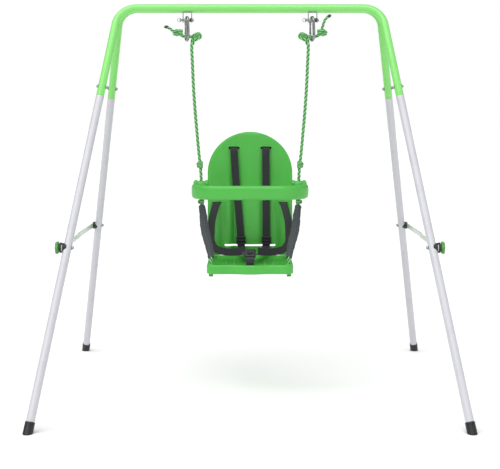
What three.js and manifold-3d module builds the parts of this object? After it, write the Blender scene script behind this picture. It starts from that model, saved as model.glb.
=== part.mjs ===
// Folding toddler swing: two identical bent-tube frames hinged along the top bar, folding side
// braces with star knobs, and a moulded bucket seat with a safety ring hung on two ropes.
// Millimetres, +Z up, X across the frame, -Y to the front, origin on the ground under the middle.
import * as THREE from 'three';
import Module from 'manifold-3d';
import { mergeVertices } from 'three/addons/utils/BufferGeometryUtils.js';

const wasm = await Module();
wasm.setup();

// ---------------------------------------------------------------- driving dimensions
const GAP = 0.3;                    // air left between pieces that touch
const TUBE_R = 12.5;                // 25 mm frame tube
const TUBE_WALL = 1.2;
const TUBE_SIDES = 12;
const BAR_Z = 1241.5;               // centre height of the top bars
const BAR_OFFSET_Y = 19;            // each bar's distance from the fold axis
const CORNER_X = 425;               // where the leg line meets the bar line
const FOOT_X = 625;                 // leg centre line on the ground
const FOOT_Y = 550;
const BEND_R = 67;                  // centre line radius of the shoulder bends
const BEND_STEPS = 6;
const SOCKET_Z = 955;               // lower end of the green tube
const SOCKET_DEPTH = 60;
const LEG_BOLT_Z = 985;
const CAP_R = 14.4;
const CAP_LENGTH = 30;
const CAP_FLOOR = 5;                // rubber under the tube end
const BOLT_R = 3;                   // M6 bolts through legs and braces
const TUBE_BOLT_BORE = 3.4;
const HEX_R = 5.6;                  // bolt heads and nuts, centre to corner
const HINGE_X = 280;                // the two knuckle hinges between the bars
const KNUCKLE_R = 5.2;
const HINGE_PIN_R = 2.5;
const HANGER_X = 203;
const HANGER_SPAN = 28;             // between the strap's two legs, centre to centre
const STRAP_IRON = 2.4;             // thickness of the hanger strap
const STRAP_WIDTH = 14;
const PIN_Z = 1203;                 // swing pivot
const PIN_R = 4;
const HOOK_WIRE_R = 4.5;
const HOOK_HEIGHT = 83;
const HOOK_WIDTH = 42;
const HOOK_TWIST = 18;              // degrees about the vertical
const BRACE_Z = 500;
const BRACE_T = 3;
const ROPE_R = 5.6;
const ROPE_SIDES = 8;
const ROPE_Y = -BAR_OFFSET_Y;       // the ropes hang under the front bar
const SEAT_HALF_X = 137.5;
const SEAT_FRONT_Y = -158;
const SEAT_SWELL = 10;
const SWELL_HALF_X = 57;
const SEAT_REAR_Y = 94;
const SEAT_TOP = 423;
const SEAT_BOTTOM = 394;
const SHELL = 4;                    // wall of the moulded parts
const ROPE_HOLE_X = 123;
const FRONT_HOLE_Y = -134;
const REAR_HOLE_Y = 68;
const BACK_Y = 90;                  // middle of the backrest's panel
const BACK_T = 5;
const BACK_RIM = 14;
const BACK_HALF_X = 142.5;
const BACK_TOP = 839;
const BACK_SHOULDER = 700;          // where the rounded top begins
const RING_ROPE_X = 159;
const RING_HALF_X = 176;            // centre line of the ring's arms
const RING_FRONT_Y = -164;
const RING_CORNER_R = 88;
const RING_SQUARENESS = 0.6;        // below 1 the band's section is squarer than an ellipse
const RING_BOTTOM = 629;
const RING_TOP = 674;
const RING_THICK = 24;
const BOSS_BOTTOM = 622;
const BOSS_TOP = 684;
const BOSS_R = 21;
const RING_BORE = 8.6;              // lets the ring slide up the leaning ropes
const WEB_WIDTH = 25;               // harness webbing
const WEB_T = 1.6;

// ---------------------------------------------------------------- derived dimensions
const LEAN = Math.atan((FOOT_Y - BAR_OFFSET_Y) / BAR_Z);
const DROP = BAR_Z / Math.cos(LEAN);            // bar to ground inside the frame's plane
const SPLAY = Math.atan((FOOT_X - CORNER_X) / DROP);
const BEND_TURN = Math.PI / 2 - SPLAY;
const BEND_RUN = BEND_R * Math.tan(BEND_TURN / 2);
const TUBE_BORE = TUBE_R - TUBE_WALL;
const DEG = Math.PI / 180;
const SIDES = [['left', -1], ['right', 1]];

// ---------------------------------------------------------------- materials
const paint = (color, roughness, metalness) =>
  new THREE.MeshStandardMaterial({ color, roughness, metalness });
const greenPaint = paint('#8ee07c', 0.35, 0.1);
const greyPaint = paint('#d6d6dc', 0.3, 0.3);
const blackRubber = paint('#17181a', 0.6, 0);
const zincSteel = paint('#b9bdbd', 0.35, 0.9);
const blackPlastic = paint('#1c1f22', 0.5, 0);
const knobPlastic = paint('#4f8a3e', 0.45, 0);
const seatPlastic = paint('#56b94f', 0.35, 0);
const ropeFibre = paint('#6cbb68', 0.8, 0);
const webbing = paint('#2d323a', 0.85, 0);

// ---------------------------------------------------------------- helpers
const v3 = (x, y, z) => new THREE.Vector3(x, y, z);

function manifoldOf(geometry) {
  const bare = geometry.clone();
  bare.deleteAttribute('normal');
  bare.deleteAttribute('uv');
  const merged = mergeVertices(bare, 1e-4);
  const vertProperties = new Float32Array(merged.attributes.position.array);
  const triVerts = new Uint32Array(merged.index.array);
  return new wasm.Manifold(new wasm.Mesh({ numProp: 3, vertProperties, triVerts }));
}

function geometryOf(manifold) {
  const mesh = manifold.getMesh();
  const geometry = new THREE.BufferGeometry();
  geometry.setAttribute('position', new THREE.BufferAttribute(new Float32Array(mesh.vertProperties), 3));
  geometry.setIndex(new THREE.BufferAttribute(new Uint32Array(mesh.triVerts), 1));
  geometry.computeVertexNormals();
  return geometry;
}

// Union of several solids.
function join(...geometries) {
  return geometryOf(geometries.map(manifoldOf).reduce((sum, next) => sum.add(next)));
}

// First solid minus all the others.
function cut(geometry, ...cutters) {
  const solid = manifoldOf(geometry);
  return geometryOf(cutters.map(manifoldOf).reduce((rest, next) => rest.subtract(next), solid));
}

function place(parent, name, geometry, material) {
  const mesh = new THREE.Mesh(geometry, material);
  mesh.name = name;
  parent.add(mesh);
  return mesh;
}

function circle(radius, sides, shift = 0) {
  const points = [];
  for (let i = 0; i < sides; i += 1) {
    const angle = ((i + 0.5) / sides) * 2 * Math.PI;
    points.push(new THREE.Vector2(radius * Math.cos(angle) + shift, radius * Math.sin(angle)));
  }
  return points;
}

function ringShape(outer, inner, sides) {
  const shape = new THREE.Shape(circle(outer, sides));
  if (inner > 0) shape.holes.push(new THREE.Path(circle(inner, sides)));
  return shape;
}

function rectShape(width, height) {
  const [w, h] = [width / 2, height / 2];
  return new THREE.Shape([[-w, -h], [w, -h], [w, h], [-w, h]].map(([x, y]) => new THREE.Vector2(x, y)));
}

// A path through given points whose section keeps its x axis towards one side vector.
class Route extends THREE.Curve {
  constructor(points, side) {
    super();
    this.points = points;
    this.side = side;
  }

  getPoint(t, target = new THREE.Vector3()) {
    const last = this.points.length - 1;
    const reach = Math.min(Math.max(t, 0), 1) * last;
    const i = Math.min(Math.floor(reach + 1e-9), last - 1);
    return target.copy(this.points[i]).lerp(this.points[i + 1], reach - i);
  }

  getPointAt(u, target) {
    return this.getPoint(u, target);
  }

  getTangentAt(u, target = new THREE.Vector3()) {
    const last = this.points.length - 1;
    const i = Math.round(u * last);
    const before = this.points[Math.max(i - 1, 0)];
    const after = this.points[Math.min(i + 1, last)];
    return target.copy(after).sub(before).normalize();
  }

  computeFrenetFrames(segments) {
    const frames = { tangents: [], normals: [], binormals: [] };
    for (let i = 0; i <= segments; i += 1) {
      const tangent = this.getTangentAt(i / segments);
      const binormal = tangent.clone().cross(this.side).normalize();
      frames.tangents.push(tangent);
      frames.binormals.push(binormal);
      frames.normals.push(binormal.clone().cross(tangent).normalize());
    }
    return frames;
  }
}

// A section swept along points; one ring of vertices for each point.
function sweep(shape, points, side) {
  const extrudePath = new Route(points, side);
  return new THREE.ExtrudeGeometry(shape, { steps: points.length - 1, bevelEnabled: false, extrudePath });
}

// Smooth points through a few control points.
function smooth(controls, count) {
  return new THREE.CatmullRomCurve3(controls, false, 'centripetal').getSpacedPoints(count);
}

function perpendicular(from, to) {
  const along = to.clone().sub(from).normalize();
  return Math.abs(along.x) < 0.9 ? v3(1, 0, 0) : v3(0, 1, 0);
}

function rod(from, to, radius, sides = 8, bore = 0) {
  return sweep(ringShape(radius, bore, sides), [from, to], perpendicular(from, to));
}

function block(width, depth, height, x, y, z) {
  return new THREE.BoxGeometry(width, depth, height).translate(x, y, z);
}

function ellipsoid(rx, ry, rz, x, y, z) {
  return new THREE.SphereGeometry(1, 8, 6).scale(rx, ry, rz).translate(x, y, z);
}

function extrude(shape, depth, curveSegments) {
  return new THREE.ExtrudeGeometry(shape, { depth, bevelEnabled: false, curveSegments });
}

// A flat outline in (y, z), given thickness along x from x0.
function plateYZ(shape, x0, thickness) {
  const geometry = extrude(shape, thickness, 6);
  return geometry.rotateX(Math.PI / 2).rotateZ(Math.PI / 2).translate(x0, 0, 0);
}

// A flat outline in (x, z), given thickness along y from y0.
function plateXZ(shape, y0, thickness) {
  const geometry = extrude(shape, thickness, 16);
  return geometry.rotateX(Math.PI / 2).translate(0, y0 + thickness, 0);
}

// A flat outline in (x, y), given height along z from z0.
function plateXY(shape, z0, height) {
  return extrude(shape, height, 4).translate(0, 0, z0);
}

// ---------------------------------------------------------------- one bent-tube frame
// Inside a frame's group x runs across, z up the plane of the tube and y through it.
const planeDrop = (z) => (BAR_Z - z) / Math.cos(LEAN);

function legPoint(side, drop) {
  return v3(side * (CORNER_X + drop * Math.tan(SPLAY)), 0, -drop);
}

function legDirection(side) {
  return v3(side * Math.sin(SPLAY), 0, -Math.cos(SPLAY));
}

function topTubePoints() {
  const half = [];
  const centreX = CORNER_X - BEND_RUN;
  for (let i = 0; i <= BEND_STEPS; i += 1) {
    const turn = (BEND_TURN * i) / BEND_STEPS;
    half.push(v3(centreX + BEND_R * Math.sin(turn), 0, BEND_R * (Math.cos(turn) - 1)));
  }
  half.push(legPoint(1, planeDrop(SOCKET_Z)));
  const mirrored = half.map((p) => v3(-p.x, p.y, p.z)).reverse();
  return [...mirrored, ...half];
}

function legBoltEnds(side, reach) {
  const middle = legPoint(side, planeDrop(LEG_BOLT_Z));
  const across = v3(Math.cos(SPLAY) * side, 0, Math.sin(SPLAY));
  return [-reach, reach].map((distance) => middle.clone().addScaledVector(across, distance));
}

// Welded lugs that carry the fold hinge: two on the front bar, one between them on the rear bar.
function hingeLugs(facing, axis) {
  const lugs = [];
  const spans = facing < 0 ? [[-23, -8.4], [8.4, 23]] : [[-8, 8]];
  const outward = axis.clone().normalize();
  for (const [, side] of SIDES) {
    for (const [start, end] of spans) {
      const from = v3(side * HINGE_X + start, axis.y, axis.z);
      const to = v3(side * HINGE_X + end, axis.y, axis.z);
      const web = block(end - start, axis.length() - TUBE_R + 1, 3.6, 0, 0, 0);
      web.rotateX(Math.atan2(outward.z, outward.y));
      const middle = outward.clone().multiplyScalar((axis.length() + TUBE_R - 1) / 2);
      web.translate(side * HINGE_X + (start + end) / 2, middle.y, middle.z);
      const knuckle = rod(from, to, KNUCKLE_R);
      const bore = rod(from.setX(from.x - 1), to.setX(to.x + 1), HINGE_PIN_R + 0.35);
      lugs.push({ web, knuckle, bore });
    }
  }
  return lugs;
}

function topTube(facing, axis) {
  let tube = sweep(ringShape(TUBE_R, TUBE_BORE, TUBE_SIDES), topTubePoints(), v3(0, 1, 0));
  const boltHoles = SIDES.map(([, side]) => rod(...legBoltEnds(side, 20), TUBE_BOLT_BORE));
  tube = cut(tube, ...boltHoles);
  const lugs = hingeLugs(facing, axis);
  const welded = join(tube, ...lugs.map((lug) => join(lug.web, lug.knuckle)));
  return cut(welded, ...lugs.map((lug) => lug.bore));
}

// The grey leg: a straight tube with a reduced spigot that plugs into the green tube.
function legTube(side) {
  const shoulder = legPoint(side, planeDrop(SOCKET_Z)).addScaledVector(legDirection(side), GAP);
  const top = shoulder.clone().addScaledVector(legDirection(side), -SOCKET_DEPTH);
  const foot = legFoot(side);
  const spigotR = TUBE_BORE - 0.6;
  const spigot = rod(top, shoulder.clone().addScaledVector(legDirection(side), 8), spigotR, TUBE_SIDES);
  const body = join(spigot, rod(shoulder, foot, TUBE_R, TUBE_SIDES));
  const neck = shoulder.clone().addScaledVector(legDirection(side), 10);
  const hollow = join(
    rod(top.clone().addScaledVector(legDirection(side), -1), neck, spigotR - TUBE_WALL, TUBE_SIDES),
    rod(neck.clone().addScaledVector(legDirection(side), -1),
      foot.clone().addScaledVector(legDirection(side), 1), TUBE_BORE, TUBE_SIDES));
  const braceHole = legPoint(side, planeDrop(BRACE_Z));
  const across = v3(20, 0, 0);
  const brace = rod(braceHole.clone().sub(across), braceHole.clone().add(across), TUBE_BOLT_BORE);
  return cut(body, hollow, brace, rod(...legBoltEnds(side, 20), TUBE_BOLT_BORE));
}

// Centre of the tube's lower end, high enough for the rubber floor under it.
function legFoot(side) {
  const tilt = Math.acos(Math.cos(LEAN) * Math.cos(SPLAY));
  const clear = CAP_FLOOR + TUBE_R * Math.sin(tilt);
  return legPoint(side, planeDrop(clear));
}

// Rubber cap sleeved on the tube and cut flat where it stands on the ground.
function footCap(side, facing) {
  const foot = legFoot(side);
  const along = legDirection(side);
  const top = foot.clone().addScaledVector(along, -CAP_LENGTH + 8);
  const bottom = foot.clone().addScaledVector(along, 40);
  const seat = foot.clone().addScaledVector(along, GAP);
  const body = rod(top, bottom, CAP_R, 14);
  const bore = rod(top.clone().addScaledVector(along, -1), seat, TUBE_R + GAP, TUBE_SIDES);
  const ground = block(120, 120, 80, 0, 0, -40);
  ground.rotateX(-facing * LEAN);
  const floor = legPoint(side, DROP);
  ground.translate(floor.x, floor.y, floor.z);
  return cut(body, bore, ground);
}

// Hexagon bolt through socket and spigot, head outside, nut inside.
function legBolt(side) {
  const reach = TUBE_R + GAP;
  const [inner, outer] = legBoltEnds(side, reach + 4);
  const [innerFace, outerFace] = legBoltEnds(side, reach);
  const shank = rod(...legBoltEnds(side, reach + 1), BOLT_R);
  return join(shank, rod(outerFace, outer, HEX_R, 6), rod(inner, innerFace, HEX_R, 6));
}

function frame(name, facing) {
  const group = new THREE.Group();
  group.position.set(0, facing * BAR_OFFSET_Y, BAR_Z);
  group.rotation.x = facing * LEAN;
  const axis = v3(0, -facing * BAR_OFFSET_Y, 0).applyAxisAngle(v3(1, 0, 0), -facing * LEAN);
  place(group, `${name}_top_tube`, topTube(facing, axis), greenPaint);
  for (const [label, side] of SIDES) {
    place(group, `${name}_leg_${label}`, legTube(side), greyPaint);
    place(group, `${name}_foot_cap_${label}`, footCap(side, facing), blackRubber);
    place(group, `${name}_leg_bolt_${label}`, legBolt(side), zincSteel);
  }
  return group;
}

// ---------------------------------------------------------------- fold hinge pins
function foldPin(side) {
  const [from, to] = [v3(side * HINGE_X - 25, 0, BAR_Z), v3(side * HINGE_X + 25, 0, BAR_Z)];
  const head = (x) => rod(v3(x, 0, BAR_Z), v3(x + 1.6, 0, BAR_Z), 4.2);
  return join(rod(from, to, HINGE_PIN_R), head(from.x), head(to.x - 1.6));
}

// ---------------------------------------------------------------- folding side braces
const BRACE_Y = BAR_OFFSET_Y + (BAR_Z - BRACE_Z) * Math.tan(LEAN);
const LEG_X = CORNER_X + (BAR_Z - BRACE_Z) * (FOOT_X - CORNER_X) / BAR_Z;
const LEG_FACE = LEG_X + TUBE_R / Math.cos(Math.atan((FOOT_X - CORNER_X) / BAR_Z));
const FRONT_LINK_X = LEG_FACE + 2.1;
const REAR_LINK_X = FRONT_LINK_X + BRACE_T + 0.5;
const LINK_HALF = 8;
const LINK_END_R = 13;
const LINK_MID_R = 9.5;
const LINK_BORE = 3.3;
const BOLT_BORE = 3.6;
const NUT_CLEAR = 1.4;               // the leg leans past the nut's flat face

// Pressed steel link from a leg bolt (y = far end) to the middle pivot at y = 0.
function linkOutline(toward) {
  const shape = new THREE.Shape();
  const neck = Math.sqrt(LINK_END_R ** 2 - LINK_HALF ** 2);
  const waist = Math.sqrt(LINK_MID_R ** 2 - LINK_HALF ** 2);
  const endAngle = Math.asin(LINK_HALF / LINK_END_R);
  const midAngle = Math.asin(LINK_HALF / LINK_MID_R);
  shape.moveTo(waist, -LINK_HALF);
  shape.lineTo(BRACE_Y - neck, -LINK_HALF);
  shape.absarc(BRACE_Y, 0, LINK_END_R, Math.PI + endAngle, Math.PI - endAngle, false);
  shape.lineTo(waist, LINK_HALF);
  shape.absarc(0, 0, LINK_MID_R, midAngle, 2 * Math.PI - midAngle, false);
  for (const y of [0, BRACE_Y]) shape.holes.push(new THREE.Path(circle(LINK_BORE, 8, y)));
  return toward > 0 ? shape : mirrorShape(shape);
}

function mirrorShape(shape) {
  const { shape: outline, holes } = shape.extractPoints(6);
  const flip = (points) => points.map((p) => new THREE.Vector2(-p.x, p.y)).reverse();
  const mirrored = new THREE.Shape(flip(outline));
  mirrored.holes = holes.map((hole) => new THREE.Path(flip(hole)));
  return mirrored;
}

// Mirrors a solid built on the right to the left side.
function onSide(geometry, side) {
  if (side > 0) return geometry;
  const flipped = geometry.index ? geometry.toNonIndexed() : geometry.clone();
  flipped.scale(-1, 1, 1);
  const position = flipped.attributes.position;
  for (let i = 0; i < position.count; i += 3) {
    const [x, y, z] = [position.getX(i), position.getY(i), position.getZ(i)];
    position.setXYZ(i, position.getX(i + 1), position.getY(i + 1), position.getZ(i + 1));
    position.setXYZ(i + 1, x, y, z);
  }
  return geometryOf(manifoldOf(flipped));
}

function link(toward, x0) {
  return plateYZ(linkOutline(toward), x0, BRACE_T).translate(0, 0, BRACE_Z);
}

const alongX = (y, z, x0, x1, radius, sides, bore) => rod(v3(x0, y, z), v3(x1, y, z), radius, sides, bore);

// Middle pivot: the stub stays in the rear link and its head covers the outside.
function middleRivet() {
  const outer = REAR_LINK_X + BRACE_T + GAP;
  const stub = alongX(0, BRACE_Z, REAR_LINK_X + 0.4, outer + 1, BOLT_R, 8);
  return join(stub, alongX(0, BRACE_Z, outer, outer + 2.4, 6, 8));
}

// Hollow that fits a saddle to the round of its leg.
function legHollow(facing) {
  return rod(legWorld(facing, BRACE_Z + 60), legWorld(facing, BRACE_Z - 60), TUBE_R + 2 * GAP, 16);
}

// Plastic saddle that takes up the round of the rear leg under the link.
function rearSaddle() {
  const body = alongX(BRACE_Y, BRACE_Z, LEG_FACE - 3.5, REAR_LINK_X - GAP, 12.5, 12);
  const bore = alongX(BRACE_Y, BRACE_Z, LEG_FACE - 10, LEG_FACE + 20, BOLT_BORE, 8);
  return cut(body, legHollow(1), bore);
}

// Right leg's centre line at a given height, in the whole model's frame.
function legWorld(facing, z) {
  const fall = (BAR_Z - z) / BAR_Z;
  const y = facing * (BAR_OFFSET_Y + (FOOT_Y - BAR_OFFSET_Y) * fall);
  return v3(CORNER_X + (FOOT_X - CORNER_X) * fall, y, z);
}

function braceBolt(facing) {
  const y = facing * BRACE_Y;
  const inner = LEG_X - (LEG_FACE - LEG_X) - NUT_CLEAR;
  const outer = facing < 0 ? KNOB_X + 9 : REAR_LINK_X + BRACE_T + GAP;
  const nut = alongX(y, BRACE_Z, inner - 5, inner, HEX_R, 6);
  const shank = alongX(y, BRACE_Z, inner - 1, outer + 1, BOLT_R, 8);
  if (facing < 0) return join(nut, shank);
  return join(nut, shank, alongX(y, BRACE_Z, outer, outer + 3, 6.5, 10));
}

// Knob side: black collar clipped over the link end, then the star knob.
const COLLAR_X = FRONT_LINK_X + BRACE_T + GAP;
const COLLAR_T = 4.5;
const KNOB_X = COLLAR_X + COLLAR_T + GAP;
const KNOB_T = 13;

function starKnob() {
  const shape = new THREE.Shape();
  const lobes = 6;
  const steps = 4 * lobes;
  for (let i = 0; i < steps; i += 1) {
    const angle = (i / steps) * 2 * Math.PI;
    const radius = 18 + 1.8 * Math.cos(lobes * angle);
    const point = [radius * Math.cos(angle), radius * Math.sin(angle)];
    if (i === 0) shape.moveTo(...point); else shape.lineTo(...point);
  }
  const grip = plateYZ(shape, KNOB_X + 3, KNOB_T - 3).translate(0, -BRACE_Y, BRACE_Z);
  const hub = alongX(-BRACE_Y, BRACE_Z, KNOB_X, KNOB_X + 4, 10, 12);
  return cut(join(grip, hub), alongX(-BRACE_Y, BRACE_Z, KNOB_X - 1, KNOB_X + 10.5, 3.4, 8));
}

function braces(parent) {
  for (const [label, side] of SIDES) {
    place(parent, `front_brace_${label}`, onSide(link(-1, FRONT_LINK_X), side), greyPaint);
    place(parent, `rear_brace_${label}`, onSide(link(1, REAR_LINK_X), side), greyPaint);
    place(parent, `brace_rivet_${label}`, onSide(middleRivet(), side), zincSteel);
    place(parent, `front_saddle_${label}`, onSide(frontSaddle(), side), blackPlastic);
    place(parent, `rear_saddle_${label}`, onSide(rearSaddle(), side), blackPlastic);
    place(parent, `front_brace_bolt_${label}`, onSide(braceBolt(-1), side), zincSteel);
    place(parent, `rear_brace_bolt_${label}`, onSide(braceBolt(1), side), zincSteel);
    place(parent, `star_knob_${label}`, onSide(starKnob(), side), knobPlastic);
  }
}

// The collar stands outside the link end and reaches round its rim to the saddle.
function frontSaddle() {
  const rimInner = LINK_END_R + 0.6;
  const y = -BRACE_Y;
  const rim = alongX(y, BRACE_Z, LEG_FACE - 0.5, COLLAR_X + 1, rimInner + 2.2, 16, rimInner);
  const window = block(20, 60, 40, FRONT_LINK_X + 1, y + 30 - 4, BRACE_Z);
  const front = block(20, 60, 40, FRONT_LINK_X + 1, y - 30 - 8, BRACE_Z);
  const cap = alongX(y, BRACE_Z, COLLAR_X, COLLAR_X + COLLAR_T, rimInner + 2.2, 16);
  const bore = alongX(y, BRACE_Z, COLLAR_X - 1, COLLAR_X + COLLAR_T + 1, BOLT_BORE, 8);
  return cut(join(cut(rim, window, front), cap), bore, legHollow(-1));
}

// ---------------------------------------------------------------- hangers under the front bar
function hangerStrap() {
  const half = HANGER_SPAN / 2 + STRAP_IRON / 2;
  const top = BAR_Z - TUBE_R - GAP;
  const bottom = PIN_Z - 9;
  const outline = [[-half, bottom], [-half, top - 5], [-half + 5, top], [half - 5, top], [half, top - 5],
    [half, bottom], [half - STRAP_IRON, bottom], [half - STRAP_IRON, top - 6], [half - 6, top - STRAP_IRON],
    [-half + 6, top - STRAP_IRON], [-half + STRAP_IRON, top - 6], [-half + STRAP_IRON, bottom]];
  const shape = new THREE.Shape(outline.map(([x, z]) => new THREE.Vector2(x, z)));
  const strap = plateXZ(shape, ROPE_Y - STRAP_WIDTH / 2, STRAP_WIDTH);
  return cut(strap, alongX(ROPE_Y, PIN_Z, -30, 30, PIN_R + 2 * GAP, 10));
}

// Clevis pin: round head outside, spacer collar beside the hook, cross hole for the ring clip.
function clevisPin() {
  const half = HANGER_SPAN / 2 + STRAP_IRON / 2;
  const shank = alongX(ROPE_Y, PIN_Z, -half - 10, half + 1, PIN_R, 10);
  const head = alongX(ROPE_Y, PIN_Z, half + GAP, half + 4, 7, 10);
  const spacer = alongX(ROPE_Y, PIN_Z, half - STRAP_IRON - GAP - 4.5, half - STRAP_IRON - GAP, 6.5, 10);
  const hole = rod(v3(-half - 5.2, ROPE_Y, PIN_Z - 10), v3(-half - 5.2, ROPE_Y, PIN_Z + 10), 2.6, 8);
  return cut(join(shank, head, spacer), hole);
}

function ringClip() {
  const half = HANGER_SPAN / 2 + STRAP_IRON / 2;
  const clip = new THREE.TorusGeometry(6.2, 0.8, 5, 12).rotateX(Math.PI / 2);
  return clip.translate(-half - 4.5 - 6.2, ROPE_Y, PIN_Z);
}

function hangers(parent) {
  for (const [label, side] of SIDES) {
    const group = new THREE.Group();
    group.position.x = side * HANGER_X;
    place(group, `hanger_bracket_${label}`, hangerStrap(), zincSteel);
    place(group, `hanger_pin_${label}`, clevisPin(), zincSteel);
    place(group, `ring_clip_${label}`, ringClip(), zincSteel);
    parent.add(group);
  }
}

// ---------------------------------------------------------------- snap hooks
const HOOK_TOP = PIN_Z + PIN_R + GAP + 2 * HOOK_WIRE_R;
const HOOK_BOTTOM = HOOK_TOP - HOOK_HEIGHT;
const GATE_LOW = HOOK_BOTTOM + 24;
const GATE_HIGH = HOOK_TOP - 23;
const GATE_R = 3.8;

// Centre line of the hook in its own plane, y across and z up, open where the gate sits.
function hookLine() {
  const half = HOOK_WIDTH / 2 - HOOK_WIRE_R;
  const topR = 13;
  const points = [v3(0, half, GATE_HIGH), v3(0, half, GATE_HIGH + 5)];
  const arcSteps = 6;
  const crown = HOOK_TOP - HOOK_WIRE_R - topR;
  for (let i = 0; i <= arcSteps; i += 1) {
    const angle = (Math.PI * i) / arcSteps;
    points.push(v3(0, topR * Math.cos(angle), crown + topR * Math.sin(angle)));
  }
  const base = HOOK_BOTTOM + HOOK_WIRE_R + half;
  for (let i = 0; i <= arcSteps; i += 1) {
    const angle = Math.PI + (Math.PI * i) / arcSteps;
    points.push(v3(0, half * Math.cos(angle), base + half * Math.sin(angle)));
  }
  points.push(v3(0, half, GATE_LOW));
  return points;
}

function hookBody() {
  return sweep(ringShape(HOOK_WIRE_R, 0, 8), hookLine(), v3(1, 0, 0));
}

// Spring gate between the two ends; its round foot turns against the hook's lower end.
function hookGate() {
  const y = HOOK_WIDTH / 2 - HOOK_WIRE_R;
  const pivot = GATE_LOW + GAP + GATE_R;
  const foot = new THREE.SphereGeometry(GATE_R, 8, 6).translate(0, y, pivot);
  return join(foot, rod(v3(0, y, pivot), v3(0, y, GATE_HIGH - 2 * GAP), GATE_R * 0.97, 8));
}

function hooks(parent) {
  for (const [label, side] of SIDES) {
    const group = new THREE.Group();
    group.position.set(side * HANGER_X - 1.5, ROPE_Y, 0);
    group.rotation.z = HOOK_TWIST * DEG;
    place(group, `snap_hook_${label}`, hookBody(), zincSteel);
    place(group, `hook_gate_${label}`, hookGate(), zincSteel);
    parent.add(group);
  }
}

// ---------------------------------------------------------------- ropes
// Right-hand rope from the hook down through the ring's boss to the seat's front corner.
const ROPE_TOP_Z = HOOK_BOTTOM + 2 * HOOK_WIRE_R + ROPE_R + 1.2;
const mainRoute = [[168, -19, 1153], [178, -19, 1151], [186, -19, 1142], [189, -19, 1120], [187, -19, 1060],
  [183.5, -19, 980], [179, -19, 913], [172, -19, 830], [165.5, -19, 760], [162, -19, 731], [160, -19, 700],
  [159, -19, 660], [159, -19, 620], [158.5, -21, 606], [156.5, -28, 588], [152, -42, 566],
  [149.5, -55, 548], [143.5, -75, 517], [134, -96, 486], [126, -117, 455], [123.5, -131.5, 440],
  [123, -134, 428], [123, -134, 388]];
const crossRoute = [[245, -19, 1165], [232, -19, 1162], [218, -19, ROPE_TOP_Z], [196, -19, ROPE_TOP_Z],
  [182, -19, 1151], [170, -19, 1157], [162, -19, 1158]];
const rearRoute = [[157.5, -13, 606], [155.5, -2, 582], [152, 20, 545], [145, 42, 505], [134, 58, 462],
  [125, 66.5, 436], [123, 68, 424], [123, 68, 388]];
const tailRoutes = {
  left: [[246, -19, 1166], [258, -19, 1174], [268, -20, 1180], [277, -21, 1181]],
  right: [[232, -19, 1172], [238, -22, 1190], [243, -23, 1203], [251, -22, 1213], [262, -20, 1219]],
};

// Each knot as its half sizes and centre.
const UNDER_RING_KNOT = [12.5, 11.5, 9, 158.8, ROPE_Y - 1, 612.5];
const ABOVE_RING_KNOT = [13, 12.5, 14.5, 162, ROPE_Y, 733];
const HOOK_KNOTS = [[19, 13, 11.5, 234, ROPE_Y, 1163], [13, 12, 12, 172, ROPE_Y, 1151]];
const seatKnot = (y) => [8.5, 8.5, 6, ROPE_HOLE_X, y, 388.5];

const vectors = (list) => list.map(([x, y, z]) => v3(x, y, z));

function cord(route, steps, radius = ROPE_R) {
  return sweep(ringShape(radius, 0, ROPE_SIDES), smooth(vectors(route), steps), v3(0, 1, 0));
}

function mainRope(label, side) {
  const knots = [...HOOK_KNOTS, ABOVE_RING_KNOT, UNDER_RING_KNOT, seatKnot(FRONT_HOLE_Y)]
    .map((knot) => ellipsoid(...knot));
  const tail = sweep(ringShape(4.6, 0, ROPE_SIDES), smooth(vectors(tailRoutes[label]), 5), v3(0, 1, 0));
  return onSide(join(cord(mainRoute, 28), cord(crossRoute, 6), tail, ...knots), side);
}

function rearRope(side) {
  const knot = ellipsoid(...seatKnot(REAR_HOLE_Y));
  const rope = join(cord(rearRoute, 12), knot);
  const [halfX, halfY, halfZ, ...centre] = UNDER_RING_KNOT;
  const frontKnot = ellipsoid(halfX + GAP, halfY + GAP, halfZ + GAP, ...centre);
  const clear = join(cord(mainRoute, 28, ROPE_R + GAP), frontKnot);
  return onSide(cut(rope, clear), side);
}

// Woven webbing sleeve round the front rope between the ring and the seat.
const SLEEVE_HALF_WIDTH = 15.5;
const SLEEVE_HALF_DEPTH = 10;
const sleeveRoute = [[157.5, -24, 600], [151.5, -42, 567], [149.5, -55, 548], [143.5, -75, 517],
  [134, -96, 486], [126, -117, 455], [123.8, -128.5, 443]];

function sleeve(side) {
  const section = circle(1, 12).map((p) => p.set(p.x * SLEEVE_HALF_WIDTH, p.y * SLEEVE_HALF_DEPTH));
  const outer = sweep(new THREE.Shape(section), smooth(vectors(sleeveRoute), 8), v3(1, 0, 0));
  return onSide(cut(outer, cord(mainRoute, 28, ROPE_R + 1)), side);
}

function ropes(parent) {
  for (const [label, side] of SIDES) {
    place(parent, `rope_${label}`, mainRope(label, side), ropeFibre);
    place(parent, `rear_rope_${label}`, rearRope(side), ropeFibre);
    place(parent, `rope_sleeve_${label}`, sleeve(side), webbing);
  }
}

// ---------------------------------------------------------------- seat base
function roundedRect(halfX, y0, y1, radius, swell = 0) {
  const shape = new THREE.Shape();
  shape.moveTo(-halfX + radius, y0);
  if (swell > 0) {
    shape.lineTo(-SWELL_HALF_X, y0);
    shape.quadraticCurveTo(0, y0 - 2 * swell, SWELL_HALF_X, y0);
  }
  shape.lineTo(halfX - radius, y0);
  shape.absarc(halfX - radius, y0 + radius, radius, -Math.PI / 2, 0, false);
  shape.lineTo(halfX, y1 - radius);
  shape.absarc(halfX - radius, y1 - radius, radius, 0, Math.PI / 2, false);
  shape.lineTo(-halfX + radius, y1);
  shape.absarc(-halfX + radius, y1 - radius, radius, Math.PI / 2, Math.PI, false);
  shape.lineTo(-halfX, y0 + radius);
  shape.absarc(-halfX + radius, y0 + radius, radius, Math.PI, 1.5 * Math.PI, false);
  return shape;
}

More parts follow.
